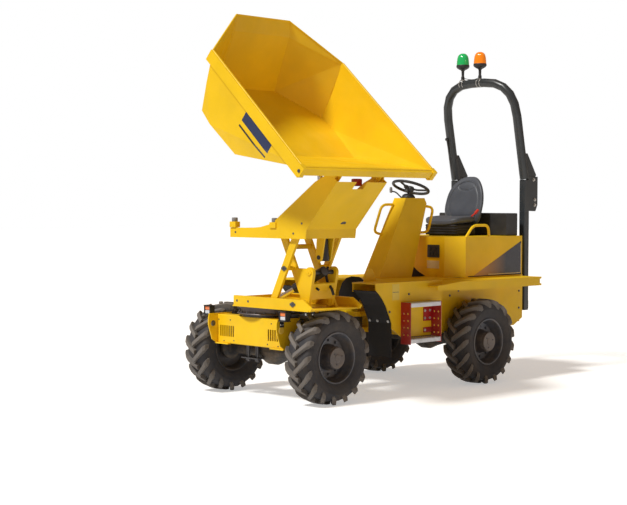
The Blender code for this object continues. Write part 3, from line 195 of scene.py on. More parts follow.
def rubber(name, colour, dust, fine=140.0):
    look = Nodes(name)
    patches = look.noise(6.0, 7.0, 0.65)
    base = look.mix(look.ramp(patches, ((0.38, 0.0), (0.72, dust))), colour, (0.20, 0.175, 0.15))
    look.set(Base_Color=base, Roughness=look.ramp(patches, ((0.25, 0.62), (0.75, 0.92))),
             Specular_IOR_Level=0.35)
    look.bump(look.noise(fine, 4.0, 0.7), 0.35, 0.0012)
    return look.material


def metal_finish(name, colour, rough, brushed=(1.0, 1.0, 1.0), stain=0.3):
    look = Nodes(name)
    lines = look.noise(60.0, 5.0, 0.6, brushed)
    patches = look.noise(8.0, 6.0)
    base = look.mix(look.ramp(patches, ((0.45, 0.0), (0.75, stain))), colour,
                    tuple(c * 0.45 for c in colour))
    look.set(Base_Color=base, Metallic=0.95, Roughness=look.ramp(lines, ((0.2, rough), (0.8, rough + 0.22))))
    look.bump(lines, 0.12, 0.0004)
    return look.material


def vinyl(name, colour):
    look = Nodes(name)
    cells = look.add("ShaderNodeTexVoronoi")
    cells.inputs["Scale"].default_value = 420.0
    look.link(look.place, cells.inputs["Vector"])
    patches = look.noise(5.0, 5.0)
    base = look.mix(look.ramp(patches, ((0.35, 0.0), (0.75, 0.5))), colour,
                    tuple(c * 1.5 + 0.004 for c in colour))
    look.set(Base_Color=base, Roughness=look.ramp(patches, ((0.3, 0.42), (0.8, 0.62))), Sheen_Weight=0.15)
    look.bump(cells.outputs["Distance"], 0.30, 0.0008)
    return look.material


def plastic(name, colour, rough=0.45):
    look = Nodes(name)
    fine = look.noise(260.0, 3.0, 0.6)
    patches = look.noise(7.0, 6.0)
    base = look.mix(look.ramp(patches, ((0.45, 0.0), (0.8, 0.45))), colour,
                    tuple(c * 0.7 + 0.035 for c in colour))
    look.set(Base_Color=base, Roughness=look.ramp(patches, ((0.3, rough), (0.8, min(1.0, rough + 0.25)))))
    look.bump(fine, 0.22, 0.0005)
    return look.material


def lens(name, colour, glow=0.25):
    look = Nodes(name)
    ribs = look.add("ShaderNodeTexWave", wave_type="BANDS", bands_direction="X")
    ribs.inputs["Scale"].default_value = 60.0
    look.link(look.place, ribs.inputs["Vector"])
    base = look.mix(look.ramp(look.noise(25.0), ((0.3, 0.0), (0.8, 0.4))), colour,
                    tuple(c * 0.55 for c in colour))
    look.set(Base_Color=base, Roughness=0.12, Coat_Weight=0.6, Emission_Color=colour, Emission_Strength=glow)
    look.bump(ribs.outputs["Fac"], 0.35, 0.0010)
    return look.material


def decal(name, colour, second=None, low=0.0, high=1.0):
    """A printed film: one colour, or one that runs into a second along Y."""
    look = Nodes(name)
    base = colour
    if second:
        split = look.add("ShaderNodeSeparateXYZ")
        look.link(look.place, split.inputs[0])
        span = look.add("ShaderNodeMapRange")
        look.link(split.outputs["Y"], span.inputs["Value"])
        span.inputs["From Min"].default_value = low
        span.inputs["From Max"].default_value = high
        base = look.mix(span.outputs["Result"], colour, second)
    scuffs = look.ramp(look.noise(40.0, 8.0, 0.75), ((0.62, 0.0), (0.72, 0.30)))
    base = look.mix(scuffs, base, (0.35, 0.30, 0.24))
    look.set(Base_Color=base, Roughness=look.ramp(look.noise(30.0), ((0.3, 0.28), (0.8, 0.5))),
             Coat_Weight=0.2)
    look.bump(look.noise(120.0), 0.05, 0.0003)
    return look.material


YELLOW = painted("yellow_enamel", (0.93, 0.600, 0.010), 0.38, coat=0.04, dust=0.10, shine=0.25)
SKIP_PAINT = painted("skip_enamel", (0.94, 0.610, 0.012), 0.40, coat=0.03, dust=0.06, grain=0.16, shine=0.25)
RED = painted("red_enamel", (0.42, 0.012, 0.012), 0.38)
BLACK = painted("black_enamel", (0.018, 0.020, 0.023), 0.36, dust=0.25)
BAR_PAINT = painted("bar_charcoal_enamel", (0.028, 0.035, 0.042), 0.34, dust=0.12)
CASTING = painted("axle_casting", (0.022, 0.022, 0.024), 0.62, dust=0.55, grain=0.5)
RING_STEEL = painted("ring_steel", (0.135, 0.120, 0.135), 0.45, metal=0.4, dust=0.3)
RIM_PAINT = painted("rim_enamel", (0.085, 0.095, 0.120), 0.40, metal=0.2, dust=0.45)
HUB_PAINT = painted("hub_enamel", (0.060, 0.058, 0.066), 0.45, dust=0.5)
CAP_PAINT = painted("hub_cap_enamel", (0.120, 0.105, 0.105), 0.42, dust=0.45)
TYRE = rubber("tyre_rubber", (0.034, 0.035, 0.043), 0.32)
TREAD = rubber("tread_rubber", (0.155, 0.146, 0.142), 0.60)
SHEET_RUBBER = rubber("sheet_rubber", (0.014, 0.014, 0.016), 0.10)
CHROME = metal_finish("ram_chrome", (0.78, 0.78, 0.80), 0.10, (1.0, 1.0, 6.0), 0.1)
ZINC = metal_finish("zinc_bolt", (0.55, 0.54, 0.52), 0.32)
TREAD_ZINC = metal_finish("tread_zinc", (0.62, 0.63, 0.66), 0.42)
# Dark steel for bolts, nuts and pins; also painted shade for the holes in the bumper's right end plate and in
# the platform's side plates.
DARK_STEEL_AND_HOLE_SHADE = metal_finish("dark_steel_and_hole_shade", (0.13, 0.13, 0.14), 0.40)
HOSE = rubber("hose_rubber", (0.012, 0.012, 0.013), 0.10, 320.0)
VINYL = vinyl("seat_vinyl_grain", (0.048, 0.057, 0.076))
PLASTIC = plastic("moulded_plastic", (0.018, 0.019, 0.022))
GREY_CAP = plastic("grey_rubber_cap", (0.22, 0.22, 0.24), 0.6)
GREEN = lens("green_dome", (0.010, 0.42, 0.110))
AMBER = lens("amber_dome", (0.95, 0.24, 0.008))
ORANGE_LENS = lens("indicator_lens", (0.80, 0.17, 0.010), 0.15)
WHITE_LENS = lens("side_lens", (0.62, 0.66, 0.72), 0.10)
BLUE_FILM = decal("blue_film", (0.016, 0.030, 0.095))
# Dark print for the skip stripe and the label lines; also painted shade for the pedestal's access hole.
DARK_FILM_AND_SLOT_SHADE = decal("dark_film_and_slot_shade", (0.030, 0.028, 0.020))
FADE_FILM = decal("fading_film", (0.46, 0.22, 0.008), (0.006, 0.006, 0.020), 1.00, 1.40)
DISC_FILM = decal("disc_film", (0.86, 0.60, 0.090))
PALE_FILM = decal("pale_film", (0.72, 0.60, 0.36))
LABEL_FILM = decal("label_film", (0.78, 0.56, 0.03))
BUCKLE = plastic("red_plastic", (0.55, 0.03, 0.015), 0.35)


# Making pieces

WELD = 0.00002


def only(*objects):
    bpy.ops.object.select_all(action="DESELECT")
    for obj in objects:
        obj.select_set(True)
    bpy.context.view_layer.objects.active = objects[0]


def settle(obj):
    only(obj)
    bpy.ops.object.transform_apply(location=True, rotation=True, scale=True)


def use(obj, kind, **values):
    """Adds one modifier with its values and applies it."""
    only(obj)
    made = obj.modifiers.new(kind.lower(), kind)
    for key, value in values.items():
        setattr(made, key, value)
    bpy.ops.object.modifier_apply(modifier=made.name)


def face_out(obj, weld=0.0):
    """Turns every face outward, after welding points nearer than a distance if one is given."""
    only(obj)
    bpy.ops.object.mode_set(mode="EDIT")
    bpy.ops.mesh.select_all(action="SELECT")
    if weld > 0.0:
        bpy.ops.mesh.remove_doubles(threshold=weld)
    bpy.ops.mesh.normals_make_consistent(inside=False)
    bpy.ops.object.mode_set(mode="OBJECT")


def round_edges(obj, width, steps=2, angle=35.0):
    if width > 0.0:
        use(obj, "BEVEL", width=width, segments=steps, limit_method="ANGLE", angle_limit=math.radians(angle),
            use_clamp_overlap=True)
    return obj


def block(low, high, edge=0.002, steps=2):
    low, high = Vector(low), Vector(high)
    bpy.ops.mesh.primitive_cube_add(size=1.0, location=(low + high) / 2.0)
    obj = bpy.context.object
    obj.scale = high - low
    settle(obj)
    return round_edges(obj, edge, steps)


def facing(spot, way):
    """The placing that brings the origin to a spot and turns Z along a way."""
    return Matrix.Translation(Vector(spot)) @ Vector(way).to_track_quat("Z", "Y").to_matrix().to_4x4()


def rod(start, end, radius, sides=16, edge=0.001):
    start, end = Vector(start), Vector(end)
    along = end - start
    bpy.ops.mesh.primitive_cone_add(vertices=sides, radius1=radius, radius2=radius, depth=along.length)
    obj = bpy.context.object
    obj.matrix_world = facing((start + end) / 2.0, along)
    settle(obj)
    return round_edges(obj, edge, 2, 50.0 if sides > 8 else 25.0)


def panel(outline, axis, low, high, edge=0.0015, holes=()):
    """A flat plate cut to an outline across one axis, with round holes (two numbers and a radius)."""
    spot = {"X": lambda a, b, w: (w, a, b),
            "Y": lambda a, b, w: (a, w, b),
            "Z": lambda a, b, w: (a, b, w)}[axis]
    bpy.ops.mesh.primitive_circle_add(vertices=len(outline), fill_type="NGON")
    obj = bpy.context.object
    for vertex, (a, b) in zip(obj.data.vertices, outline):
        vertex.co = spot(a, b, low)
    only(obj)
    bpy.ops.object.mode_set(mode="EDIT")
    bpy.ops.mesh.select_all(action="SELECT")
    bpy.ops.mesh.extrude_region_move(TRANSFORM_OT_translate={"value": Vector(spot(0, 0, high - low))})
    bpy.ops.object.mode_set(mode="OBJECT")
    face_out(obj)
    for a, b, radius in holes:
        cutter = rod(spot(a, b, low - 0.01), spot(a, b, high + 0.01), radius, 16, 0.0)
        use(obj, "BOOLEAN", operation="DIFFERENCE", solver="EXACT", object=cutter)
        bpy.data.objects.remove(cutter)
    return round_edges(obj, edge, 1)


def smooth_path(points, radius, steps=5):
    """The corners of a route rounded off, so that a bent tube has true bends."""
    points = [Vector(p) for p in points]
    out = [points[0]]
    for before, corner, after in zip(points, points[1:], points[2:]):
        reach = min(radius, (before - corner).length * 0.48, (after - corner).length * 0.48)
        first = corner + (before - corner).normalized() * reach
        last = corner + (after - corner).normalized() * reach
        for step in range(steps + 1):
            t = step / steps
            out.append(first * (1 - t) ** 2 + corner * 2 * t * (1 - t) + last * t ** 2)
    out.append(points[-1])
    return out


def tube(points, radius, bend=0.03, closed=False, sides=4):
    route = points if closed else smooth_path(points, bend)
    data = bpy.data.curves.new("tube", "CURVE")
    data.dimensions = "3D"
    data.bevel_depth = radius
    data.bevel_resolution = sides
    data.use_fill_caps = True
    spline = data.splines.new("POLY")
    spline.points.add(len(route) - 1)
    spline.use_cyclic_u = closed
    for point, place in zip(spline.points, route):
        point.co = (*place, 1.0)
    obj = bpy.data.objects.new("tube", data)
    bpy.context.scene.collection.objects.link(obj)
    only(obj)
    bpy.ops.object.convert(target="MESH")
    return smooth(bpy.context.object)


def lathe(profile, centre, axis="X", steps=48, bend=40.0):
    """A closed profile of (radius, place along the axis) turned once round the axis."""
    bpy.ops.mesh.primitive_circle_add(vertices=len(profile), fill_type="NOTHING")
    obj = bpy.context.object
    for vertex, (radius, along) in zip(obj.data.vertices, profile):
        vertex.co = (radius, 0.0, along)
    use(obj, "SCREW", axis="Z", steps=steps, render_steps=steps, use_merge_vertices=True,
        merge_threshold=WELD, use_normal_calculate=True)
    face_out(obj, WELD)
    turn = {"X": Matrix.Rotation(math.pi / 2.0, 4, "Y"),
            "Y": Matrix.Rotation(-math.pi / 2.0, 4, "X"),
            "Z": Matrix()}
    obj.matrix_world = Matrix.Translation(centre) @ turn[axis]
    settle(obj)
    return smooth(obj, bend)


def smooth(obj, angle=40.0):
    only(obj)
    bpy.ops.object.shade_smooth_by_angle(angle=math.radians(angle))
    return obj


def copied(obj, matrix):
    made = obj.copy()
    made.data = obj.data.copy()
    bpy.context.scene.collection.objects.link(made)
    made.data.transform(matrix)
    return made


def joined(pieces):
    only(*pieces)
    if len(pieces) > 1:
        bpy.ops.object.join()
    return bpy.context.object


def place(name, pieces, look, body, slot, stands_for=()):
    """Joins pieces into one, names it, gives it its finish and lets it ride on its body."""
    obj = joined(pieces)
    obj.name = name
    obj.data.name = name
    obj.data.materials.clear()
    obj.data.materials.append(look)
    obj.location = SHIFT
    settle(obj)
    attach(obj, body)
    if stands_for:
        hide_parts(*stands_for)
    return obj


def bolt(radius, high):
    """A hexagon head on a washer, standing up along Z from the origin."""
    head = rod((0, 0, 0.0015), (0, 0, high + 0.0015), radius, 6, radius * 0.12)
    return joined([head, rod((0, 0, -0.001), (0, 0, 0.002), radius * 1.35, 20, 0.0004)])


def bolts(name, table, body, look, slot, radius, high):
    """Copies of one bolt at each (place, way out) of a table."""
    first = bolt(radius, high)
    made = [copied(first, facing(spot, way)) for spot, way in table]
    bpy.data.objects.remove(first)
    place(name, made, look, body, slot)


def x_range(side, near, far):
    """The lower and the higher X of something that lies between two distances on one side."""
    return sorted((side * near, side * far))


def paint_node(node, look):
    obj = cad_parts[node]
    obj.data.materials.clear()
    obj.data.materials.append(look)


# Finishes of the parts that keep their shape

for names, look in (
    (("base_frame", "inner_arms", "outer_arm_near", "outer_arm_far", "platform", "bumper", "rear_frame",
      "cowl", "column", "deck_left", "deck_right"), YELLOW),
    (("skip",), SKIP_PAINT),
    (("front_axle", "rear_axle", "engine_block"), CASTING),
    (("front_frame", "lift_barrel", "tip_barrel"), BLACK),
    (("slew_ring",), RING_STEEL),
    (("lift_rod", "tip_rod"), CHROME),
    (("flap_left", "flap_right", "hose_guard"), SHEET_RUBBER),
    (("rear_box", "seat_base", "lamp_left", "lamp_right"), PLASTIC),
    (("rops_posts",), BAR_PAINT),
    (("steps_left", "steps_right"), RED),
):
    for node in names:
        paint_node(node, look)


# Tyres

LUGS = 17
LUG_SWEEP = math.radians(19.0)
LUG_STAGGER = math.radians(5.3)

# Each row: place across the tyre, top radius, foot radius, share of the sweep, half width
LUG_ROWS = ((-0.014, 0.380, 0.342, 0.00, 0.022),
            (0.045, 0.380, 0.340, 0.36, 0.0225),
            (0.085, 0.378, 0.338, 0.62, 0.024),
            (0.112, 0.370, 0.325, 0.86, 0.027),
            (0.127, 0.350, 0.305, 1.00, 0.029),
            (0.128, 0.315, 0.290, 1.08, 0.020))


def tyre_lug(side):
    """One slanting tread bar from the crown to the sidewall, on top of the tyre, pointing along X."""
    rings = []
    for along, top, foot, share, half in LUG_ROWS:
        ring = []
        for radius, way in ((top, -0.84), (top, 0.84), (foot, 1.12), (foot, -1.12)):
            turn = -share * LUG_SWEEP + way * half / TYRE_R
            inset = 0.012 if along > 0.12 and radius == foot else 0.0
            ring.append((side * (along - inset), radius * math.cos(turn), radius * math.sin(turn)))
        rings.append(ring)
    bpy.ops.mesh.primitive_plane_add()
    bar = bpy.context.object
    for vertex, spot in zip(bar.data.vertices, (rings[0][0], rings[0][1], rings[0][3], rings[0][2])):
        vertex.co = spot
    for last, ring in zip(rings, rings[1:]):
        only(bar)
        bpy.ops.object.mode_set(mode="EDIT")
        bpy.ops.mesh.extrude_region_move()
        bpy.ops.object.mode_set(mode="OBJECT")
        for vertex in [v for v in bar.data.vertices if v.select]:
            near = min(range(4), key=lambda i: (vertex.co - Vector(last[i])).length)
            vertex.co = ring[near]
    face_out(bar)
    return round_edges(bar, 0.0018, 1, 30.0)


def tyre_carcass():
    half = [(0.200, 0.094), (0.206, 0.100), (0.214, 0.103), (0.226, 0.109), (0.234, 0.115), (0.239, 0.1155),
            (0.244, 0.1185), (0.262, 0.1225), (0.285, 0.1245), (0.290, 0.1262), (0.296, 0.1245),
            (0.312, 0.1215), (0.325, 0.1160), (0.337, 0.1060), (0.344, 0.0900), (0.348, 0.0550)]
    return lathe(half + [(r, -x) for r, x in reversed(half)], (0, 0, 0), "X", 96, 50.0)


lug_left, lug_right = tyre_lug(1), tyre_lug(-1)
carcass = tyre_carcass()
bars = []
for index in range(LUGS):
    turn = 2.0 * math.pi * index / LUGS
    bars.append(copied(lug_left, Matrix.Rotation(turn + LUG_STAGGER, 4, "X")))
    bars.append(copied(lug_right, Matrix.Rotation(turn - LUG_STAGGER, 4, "X")))
bpy.data.objects.remove(lug_left)
bpy.data.objects.remove(lug_right)
tread = joined(bars)


def rim():
    """The flanges, the deep well and the disc of a wheel. Outside is +X."""
    well = [(0.203, 0.094), (0.208, 0.103), (0.205, 0.108), (0.196, 0.107), (0.191, 0.098), (0.186, 0.080),
            (0.184, 0.055), (0.176, 0.045), (0.170, 0.020), (0.166, 0.010), (0.100, 0.006), (0.100, -0.010),
            (0.166, -0.014), (0.178, -0.020), (0.184, -0.080), (0.194, -0.100), (0.206, -0.106),
            (0.208, -0.100), (0.203, -0.094), (0.199, -0.085), (0.188, -0.012), (0.183, 0.010),
            (0.188, 0.040), (0.199, 0.085)]
    return lathe(well, (0, 0, 0), "X", 64, 35.0)


def hub():
    """The drum that stands out of the disc."""
    drum = [(0.0, -0.012), (0.100, -0.012), (0.106, 0.002), (0.106, 0.020), (0.098, 0.030), (0.094, 0.052),
            (0.092, 0.090), (0.088, 0.099), (0.0, 0.099)]
    return lathe(drum, (0, 0, 0), "X", 48, 30.0)


def cap():
    """The flat cover on the drum, with a raised middle."""
    cover = [(0.0, 0.0975), (0.079, 0.0975), (0.084, 0.101), (0.084, 0.111), (0.080, 0.115), (0.034, 0.115),
             (0.030, 0.1185), (0.0, 0.1190)]
    return lathe(cover, (0, 0, 0), "X", 48, 30.0)


rim_first, hub_first, cap_first = rim(), hub(), cap()
nut = bolt(0.011, 0.014)
nuts = []
# Each row: how many round the wheel, start as a share of one step, place outwards, radius, size
for count, start, outwards, radius, size in ((10, 0.0, 0.007, 0.137, 1.0), (3, 0.4, 0.115, 0.050, 0.45)):
    for index in range(count):
        around = Matrix.Rotation(2.0 * math.pi * (index + start) / count, 4, "X")
        spot = around @ Matrix.Translation((outwards, 0.0, radius)) @ Matrix.Rotation(math.pi / 2, 4, "Y")
        nuts.append(copied(nut, spot @ Matrix.Scale(size, 4)))
bpy.data.objects.remove(nut)
nuts_first = joined(nuts)
for name, side, along in CORNERS:
    spot = Matrix.Translation((side * HALF_TRACK, along, TYRE_R))
    outward = spot if side > 0 else spot @ Matrix.Rotation(math.pi, 4, "Z")
    body = "wheel_" + name
    place("tyre_wall_" + name, [copied(carcass, spot)], TYRE, body, "tyre", ["tyre_" + name])
    place("tyre_bars_" + name, [copied(tread, spot)], TREAD, body, "tyre")
    place("rim_well_" + name, [copied(rim_first, outward)], RIM_PAINT, body, "rim_paint", ["rim_" + name])
    place("hub_drum_" + name, [copied(hub_first, outward)], HUB_PAINT, body, "rim_paint")
    place("hub_cap_" + name, [copied(cap_first, outward)], CAP_PAINT, body, "rim_paint")
    place("wheel_nuts_" + name, [copied(nuts_first, outward)], DARK_STEEL_AND_HOLE_SHADE, body, "chrome_rod")
for spare in (carcass, tread, rim_first, hub_first, nuts_first, cap_first):
    bpy.data.objects.remove(spare)


# Front box: lamps and bolts

LAMP_IN, LAMP_OUT = 0.4205, 0.4995
LAMP_FRONT, LAMP_BACK = -0.347, -0.297


def lamp(side):
    """A lamp's dark parts in a list, then its upper and its lower lens."""
    near, far = x_range(side, LAMP_IN, LAMP_OUT)
    front, back = LAMP_FRONT, LAMP_BACK
    mid = (near + far) / 2.0
    shell = joined([block((near, front + 0.012, 0.680), (far, back, 0.752), 0.006, 3),
                    block((near, front - 0.006, 0.676), (near + 0.009, front + 0.020, 0.754), 0.0025),
                    block((far - 0.009, front - 0.006, 0.676), (far, front + 0.020, 0.754), 0.0025),
                    block((near, front - 0.006, 0.745), (far, front + 0.020, 0.755), 0.0025),
                    block((near, front - 0.006, 0.675), (far, front + 0.020, 0.684), 0.0025)])
    guard = [block((near - 0.002, front - 0.014, z), (far + 0.002, back + 0.004, z + 0.004), 0.0012)
             for z in (0.674, 0.752)]
    stay_in, stay_out = x_range(side, LAMP_IN, LAMP_IN + 0.008)
    stay = block((stay_in, front + 0.004, 0.625), (stay_out, back - 0.006, 0.685), 0.001)
    rear = [rod((mid, back - 0.002, 0.715), (mid, back + 0.010, 0.715), 0.012, 20, 0.002)]
    upper = block((near + 0.008, front, 0.7160), (far - 0.008, front + 0.016, 0.7460), 0.005, 3)
    lower = block((near + 0.008, front, 0.6835), (far - 0.008, front + 0.016, 0.7130), 0.005, 3)
    return [shell, stay] + guard + rear, upper, lower


for name, side in SIDES:
    shell, upper, lower = lamp(side)
    place("lamp_shell_" + name, shell, PLASTIC, "front_machine", "black_plastic", ["lamp_" + name])
    place("lamp_turn_lens_" + name, [upper], ORANGE_LENS, "front_machine", "amber_lens")
    place("lamp_side_lens_" + name, [lower], WHITE_LENS, "front_machine", "black_plastic")

table = []
for side in (1, -1):
    for x, z in ((0.395, 0.637), (0.250, 0.640), (0.330, 0.462), (0.205, 0.470)):
        table.append(((side * x, BOX_FACE_Y, z), (0, -1, 0)))
bolts("front_box_bolts", table, "front_machine", DARK_STEEL_AND_HOLE_SHADE, "black_paint", 0.0045, 0.003)
table = [((side * (LAMP_IN + 0.008), y, 0.645), (side, 0, 0))
         for side in (1, -1) for y in (-0.337, -0.313)]
bolts("lamp_stay_bolts", table, "front_machine", ZINC, "chrome_rod", 0.005, 0.004)

cover = [(0.0, 0.0), (0.0, 0.004), (0.026, 0.004), (0.029, 0.0)]
place("cheek_disc", [lathe(cover, (0.4202, -0.325, 0.600), "X", 32)], DISC_FILM,
      "front_machine", "yellow_paint")
# A dark disc on the right end plate, where that plate has a round hole: painted shade standing for the dark
# inside of the hole.
hole_shade_profile = [(0.0, 0.0), (0.0, 0.005), (0.019, 0.005), (0.024, 0.0)]
place("cheek_hole_shade", [lathe(hole_shade_profile, (-0.4085, -0.325, 0.606), "X", 32)], DARK_STEEL_AND_HOLE_SHADE,
      "front_machine", "black_paint")


# Under the front: hanging bolts and their plate

drops = []
for x, y in ((0.05, -0.150), (0.10, -0.120), (0.16, -0.150), (0.21, -0.120)):
    drops.append(rod((-x, y, 0.300), (-x, y, 0.505), 0.008, 12))
    drops.append(rod((-x, y, 0.296), (-x, y, 0.314), 0.015, 6))
drops.append(block((-0.235, -0.170, 0.318), (-0.025, -0.100, 0.330), 0.002))
place("spring_bolts", drops, DARK_STEEL_AND_HOLE_SHADE, "front_machine", "black_paint")


# Turntable: ring flange, ring bolts and pin heads

RING_BOLTS = 20
BOLT_CIRCLE = 0.262
RING_TOP = 0.7125
ring_bolts = []
for index in range(RING_BOLTS):
    turn = 2.0 * math.pi * index / RING_BOLTS
    spot = (BOLT_CIRCLE * math.cos(turn), TURN_Y + BOLT_CIRCLE * math.sin(turn), RING_TOP)
    ring_bolts.append((spot, (0, 0, 1)))
flange = lathe([(0.205, 0.7010), (0.275, 0.7010), (0.278, 0.7040), (0.275, 0.7100), (0.252, 0.7130),
                (0.205, 0.7130)],
               (0, TURN_Y, 0), "Z", 72, 25.0)
place("ring_flange", [flange], RING_STEEL, "turntable", "grey_paint")
bolts("ring_bolts", ring_bolts, "turntable", DARK_STEEL_AND_HOLE_SHADE, "grey_paint", 0.008, 0.008)


def pin_head(spot, side, radius=0.024, thick=0.008):
    """A turned pin head with a grease nipple and a keeper, on a side plate."""
    centre = Vector(spot)
    way = Vector((0, side, 0))
    head = rod(centre - way * 0.002, centre + way * thick, radius, 32, 0.002)
    nipple = rod(centre + way * thick * 0.8, centre + way * (thick + 0.006), 0.0045, 6, 0.0006)
    half = Vector((0.030, 0.003, 0.009))
    keeper = block(centre - half + way * 0.003, centre + half + way * 0.003, 0.0015)
    return [head, nipple, keeper]


MID = Vector((0.42168, TURN_Y, 1.09243))
EAR = Vector((0.600, TURN_Y, 1.060))
BASE_PIN = Vector((0.560, TURN_Y, 0.815))
for name, spot, half, radius, look, body in (
    ("scissor_pin_heads", MID, 0.247, 0.020, DARK_STEEL_AND_HOLE_SHADE, "outer_scissor"),
    ("ear_pin_heads", EAR, 0.144, 0.022, YELLOW, "inner_scissor"),
):
    heads = []
    for side in (-1, 1):
        heads += pin_head(spot + Vector((0, side * half, 0)), side, radius)
    place(name, heads, look, body, "yellow_paint")
heads = []
for side in (-1, 1):
    heads += pin_head(BASE_PIN + Vector((0, side * 0.284, 0)), side, 0.020)
    inner, outer = TURN_Y + side * 0.283, TURN_Y + side * 0.2855
    heads += [rod((x, inner, 0.812), (x, outer, 0.812), 0.010, 20, 0.0005) for x in (-0.100, 0.035)]
place("base_pin_heads", heads, DARK_STEEL_AND_HOLE_SHADE, "turntable", "yellow_paint")
# Dark discs on the platform's side plates where they have round holes: painted shade standing for the holes.
heads = []
for side in (-1, 1):
    heads += [rod((x, TURN_Y + side * 0.279, z), (x, TURN_Y + side * 0.2815, z), 0.009, 20, 0.0005)
              for x, z in ((-0.125, 1.372), (0.560, 1.372), (0.655, 1.452))]
place("platform_hole_shades", heads, DARK_STEEL_AND_HOLE_SHADE, "lift_platform", "yellow_paint")

caps, feet = [], []
cap_profile = [(0.0, 1.457), (0.0225, 1.457), (0.0245, 1.460), (0.0245, 1.4885), (0.021, 1.4915),
               (0.0, 1.4925)]
for side in (-1, 1):
    for x in (-0.150, 0.330):
        y = TURN_Y + side * 0.265
        caps.append(lathe(cap_profile, (x, y, 0), "Z", 32, 35.0))
        feet.append(block((x - 0.036, y - 0.027, 1.4115), (x + 0.036, y + 0.027, 1.4580), 0.003))
place("post_caps", caps, GREY_CAP, "lift_platform", "black_plastic")
place("post_feet", feet, YELLOW, "lift_platform", "yellow_paint")

# A thin dark film disc on the pedestal's front plate, where its access hole is: painted shade standing for
# the hole.
slot = [(0.0, 0.0), (0.0, 0.0012), (0.030, 0.0012), (0.032, 0.0)]
slot_shade_disc = lathe(slot, (0, 0, 0), "X", 40)
slot_shade_disc.data.transform(Matrix.Translation((0.7445, 0.040, 1.4505)) @ Matrix.Rotation(TILT, 4, "Y") @
                       Matrix.Scale(0.72, 4, (0, 0, 1)))
place("pedestal_slot_shade", [slot_shade_disc], DARK_FILM_AND_SLOT_SHADE, "lift_platform", "black_plastic")

place("pedestal_block", [block((0.870, TURN_Y + 0.045, 1.7450), (0.930, TURN_Y + 0.117, 1.8030), 0.010, 3)],
      RED, "lift_platform", "red_paint")

left_run = [(0.600, TURN_Y + 0.066, 1.100), (0.565, TURN_Y + 0.075, 1.045), (0.585, TURN_Y + 0.075, 0.975),
            (0.640, TURN_Y + 0.070, 0.930), (0.660, TURN_Y + 0.070, 0.880)]
right_run = [(0.545, TURN_Y - 0.066, 1.085), (0.530, TURN_Y - 0.075, 1.020), (0.560, TURN_Y - 0.080, 0.960),
             (0.640, TURN_Y - 0.075, 0.925)]
hoses = [tube(left_run, 0.011, 0.05), tube(right_run, 0.010, 0.05)]
place("lift_hoses", hoses, HOSE, "inner_scissor", "black_plastic")

RAM_EYE = Vector((0.080, TURN_Y, 0.820))
boss = [(0.0, -0.034), (0.022, -0.034), (0.036, -0.030), (0.037, -0.016), (0.0, -0.016)]
gland = lathe(boss, (0, 0, 0), "Z", 40)
gland.data.transform(facing(EAR, (RAM_EYE - EAR).normalized()))
place("lift_ram_boss", [gland], DARK_STEEL_AND_HOLE_SHADE, "lift_ram_barrel", "grey_paint")


# Skip: rim bars, films and lip bolts

LEVEL = Matrix.Translation(HINGE) @ Matrix.Rotation(TILT, 4, "Y")


def on_skip(pieces):
    """Brings pieces from the level skip's own axes to where the skip stands tipped."""
    for piece in pieces:
        piece.data.transform(LEVEL)
    return pieces


nose_bar = [(-1.303, -0.722, 0.158), (-1.682, -0.296, 0.265), (-1.682, 0.296, 0.265), (-1.303, 0.722, 0.158)]
rail = [tube(nose_bar, 0.0075, 0.004)]
for side in (-1, 1):
    rail.append(tube([(-1.303, side * 0.727, 0.156), (0.080, side * 0.727, 0.156)], 0.009, 0.004))
    rail.append(tube([(-1.303, side * 0.716, 0.147), (-1.610, side * 0.309, 0.147)], 0.005, 0.004))
place("skip_rim", on_skip(rail), SKIP_PAINT, "skip_body", "yellow_paint")


def skip_film(low, high, name, look, slot):
    """A printed film laid on the skip's near side, where it follows the folds of the plate."""
    bpy.ops.mesh.primitive_grid_add(x_subdivisions=36, y_subdivisions=8, size=1.0)
    film = bpy.context.object
    for vertex in film.data.vertices:
        across, up = vertex.co.x + 0.5, vertex.co.y + 0.5
        vertex.co = (low[0] + (high[0] - low[0]) * across, -0.735, low[1] + (high[1] - low[1]) * up)
    film.data.transform(Matrix.Translation(SHIFT) @ LEVEL)
    use(film, "SHRINKWRAP", target=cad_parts["skip"], wrap_method="PROJECT", use_project_y=True,
        use_negative_direction=True, use_positive_direction=True, offset=0.0005)
    use(film, "SOLIDIFY", thickness=0.0006, offset=0.0)
    film.data.transform(Matrix.Translation(-SHIFT))
    place(name, [film], look, "skip_body", slot)


skip_film((-0.690, -0.040), (-0.300, 0.084), "skip_film_panel", BLUE_FILM, "black_plastic")
skip_film((-0.690, -0.094), (-0.310, -0.078), "skip_film_stripe", DARK_FILM_AND_SLOT_SHADE, "black_plastic")

heads = [rod((0.078, side * 0.745, 0.120), (0.078, side * 0.756, 0.120), 0.013, 24, 0.002)
         for side in (-1, 1)]
place("skip_lip_bolts", on_skip(heads), DARK_STEEL_AND_HOLE_SHADE, "skip_body", "grey_paint")


# Driver's place: handles, steering wheel and levers

def handle(name, points):
    place(name, [tube(points, 0.0125, 0.055)], YELLOW, "rear_machine", "yellow_paint")


handle("column_handle_front", [(-0.045, 1.500, 1.600), (-0.075, 1.383, 1.600), (-0.085, 1.290, 1.350),
                               (-0.060, 1.372, 1.330)])
handle("column_handle_rear", [(0.045, 1.800, 1.590), (0.070, 1.925, 1.575), (0.070, 1.850, 1.345),
                              (0.045, 1.735, 1.345)])
for name, x in (("cowl_handle", 0.440), ("cowl_handle_right", -0.440)):
    handle(name, [(x, 1.945, 1.303), (x, 2.050, 1.412), (x, 2.270, 1.412), (x, 2.283, 1.303)])

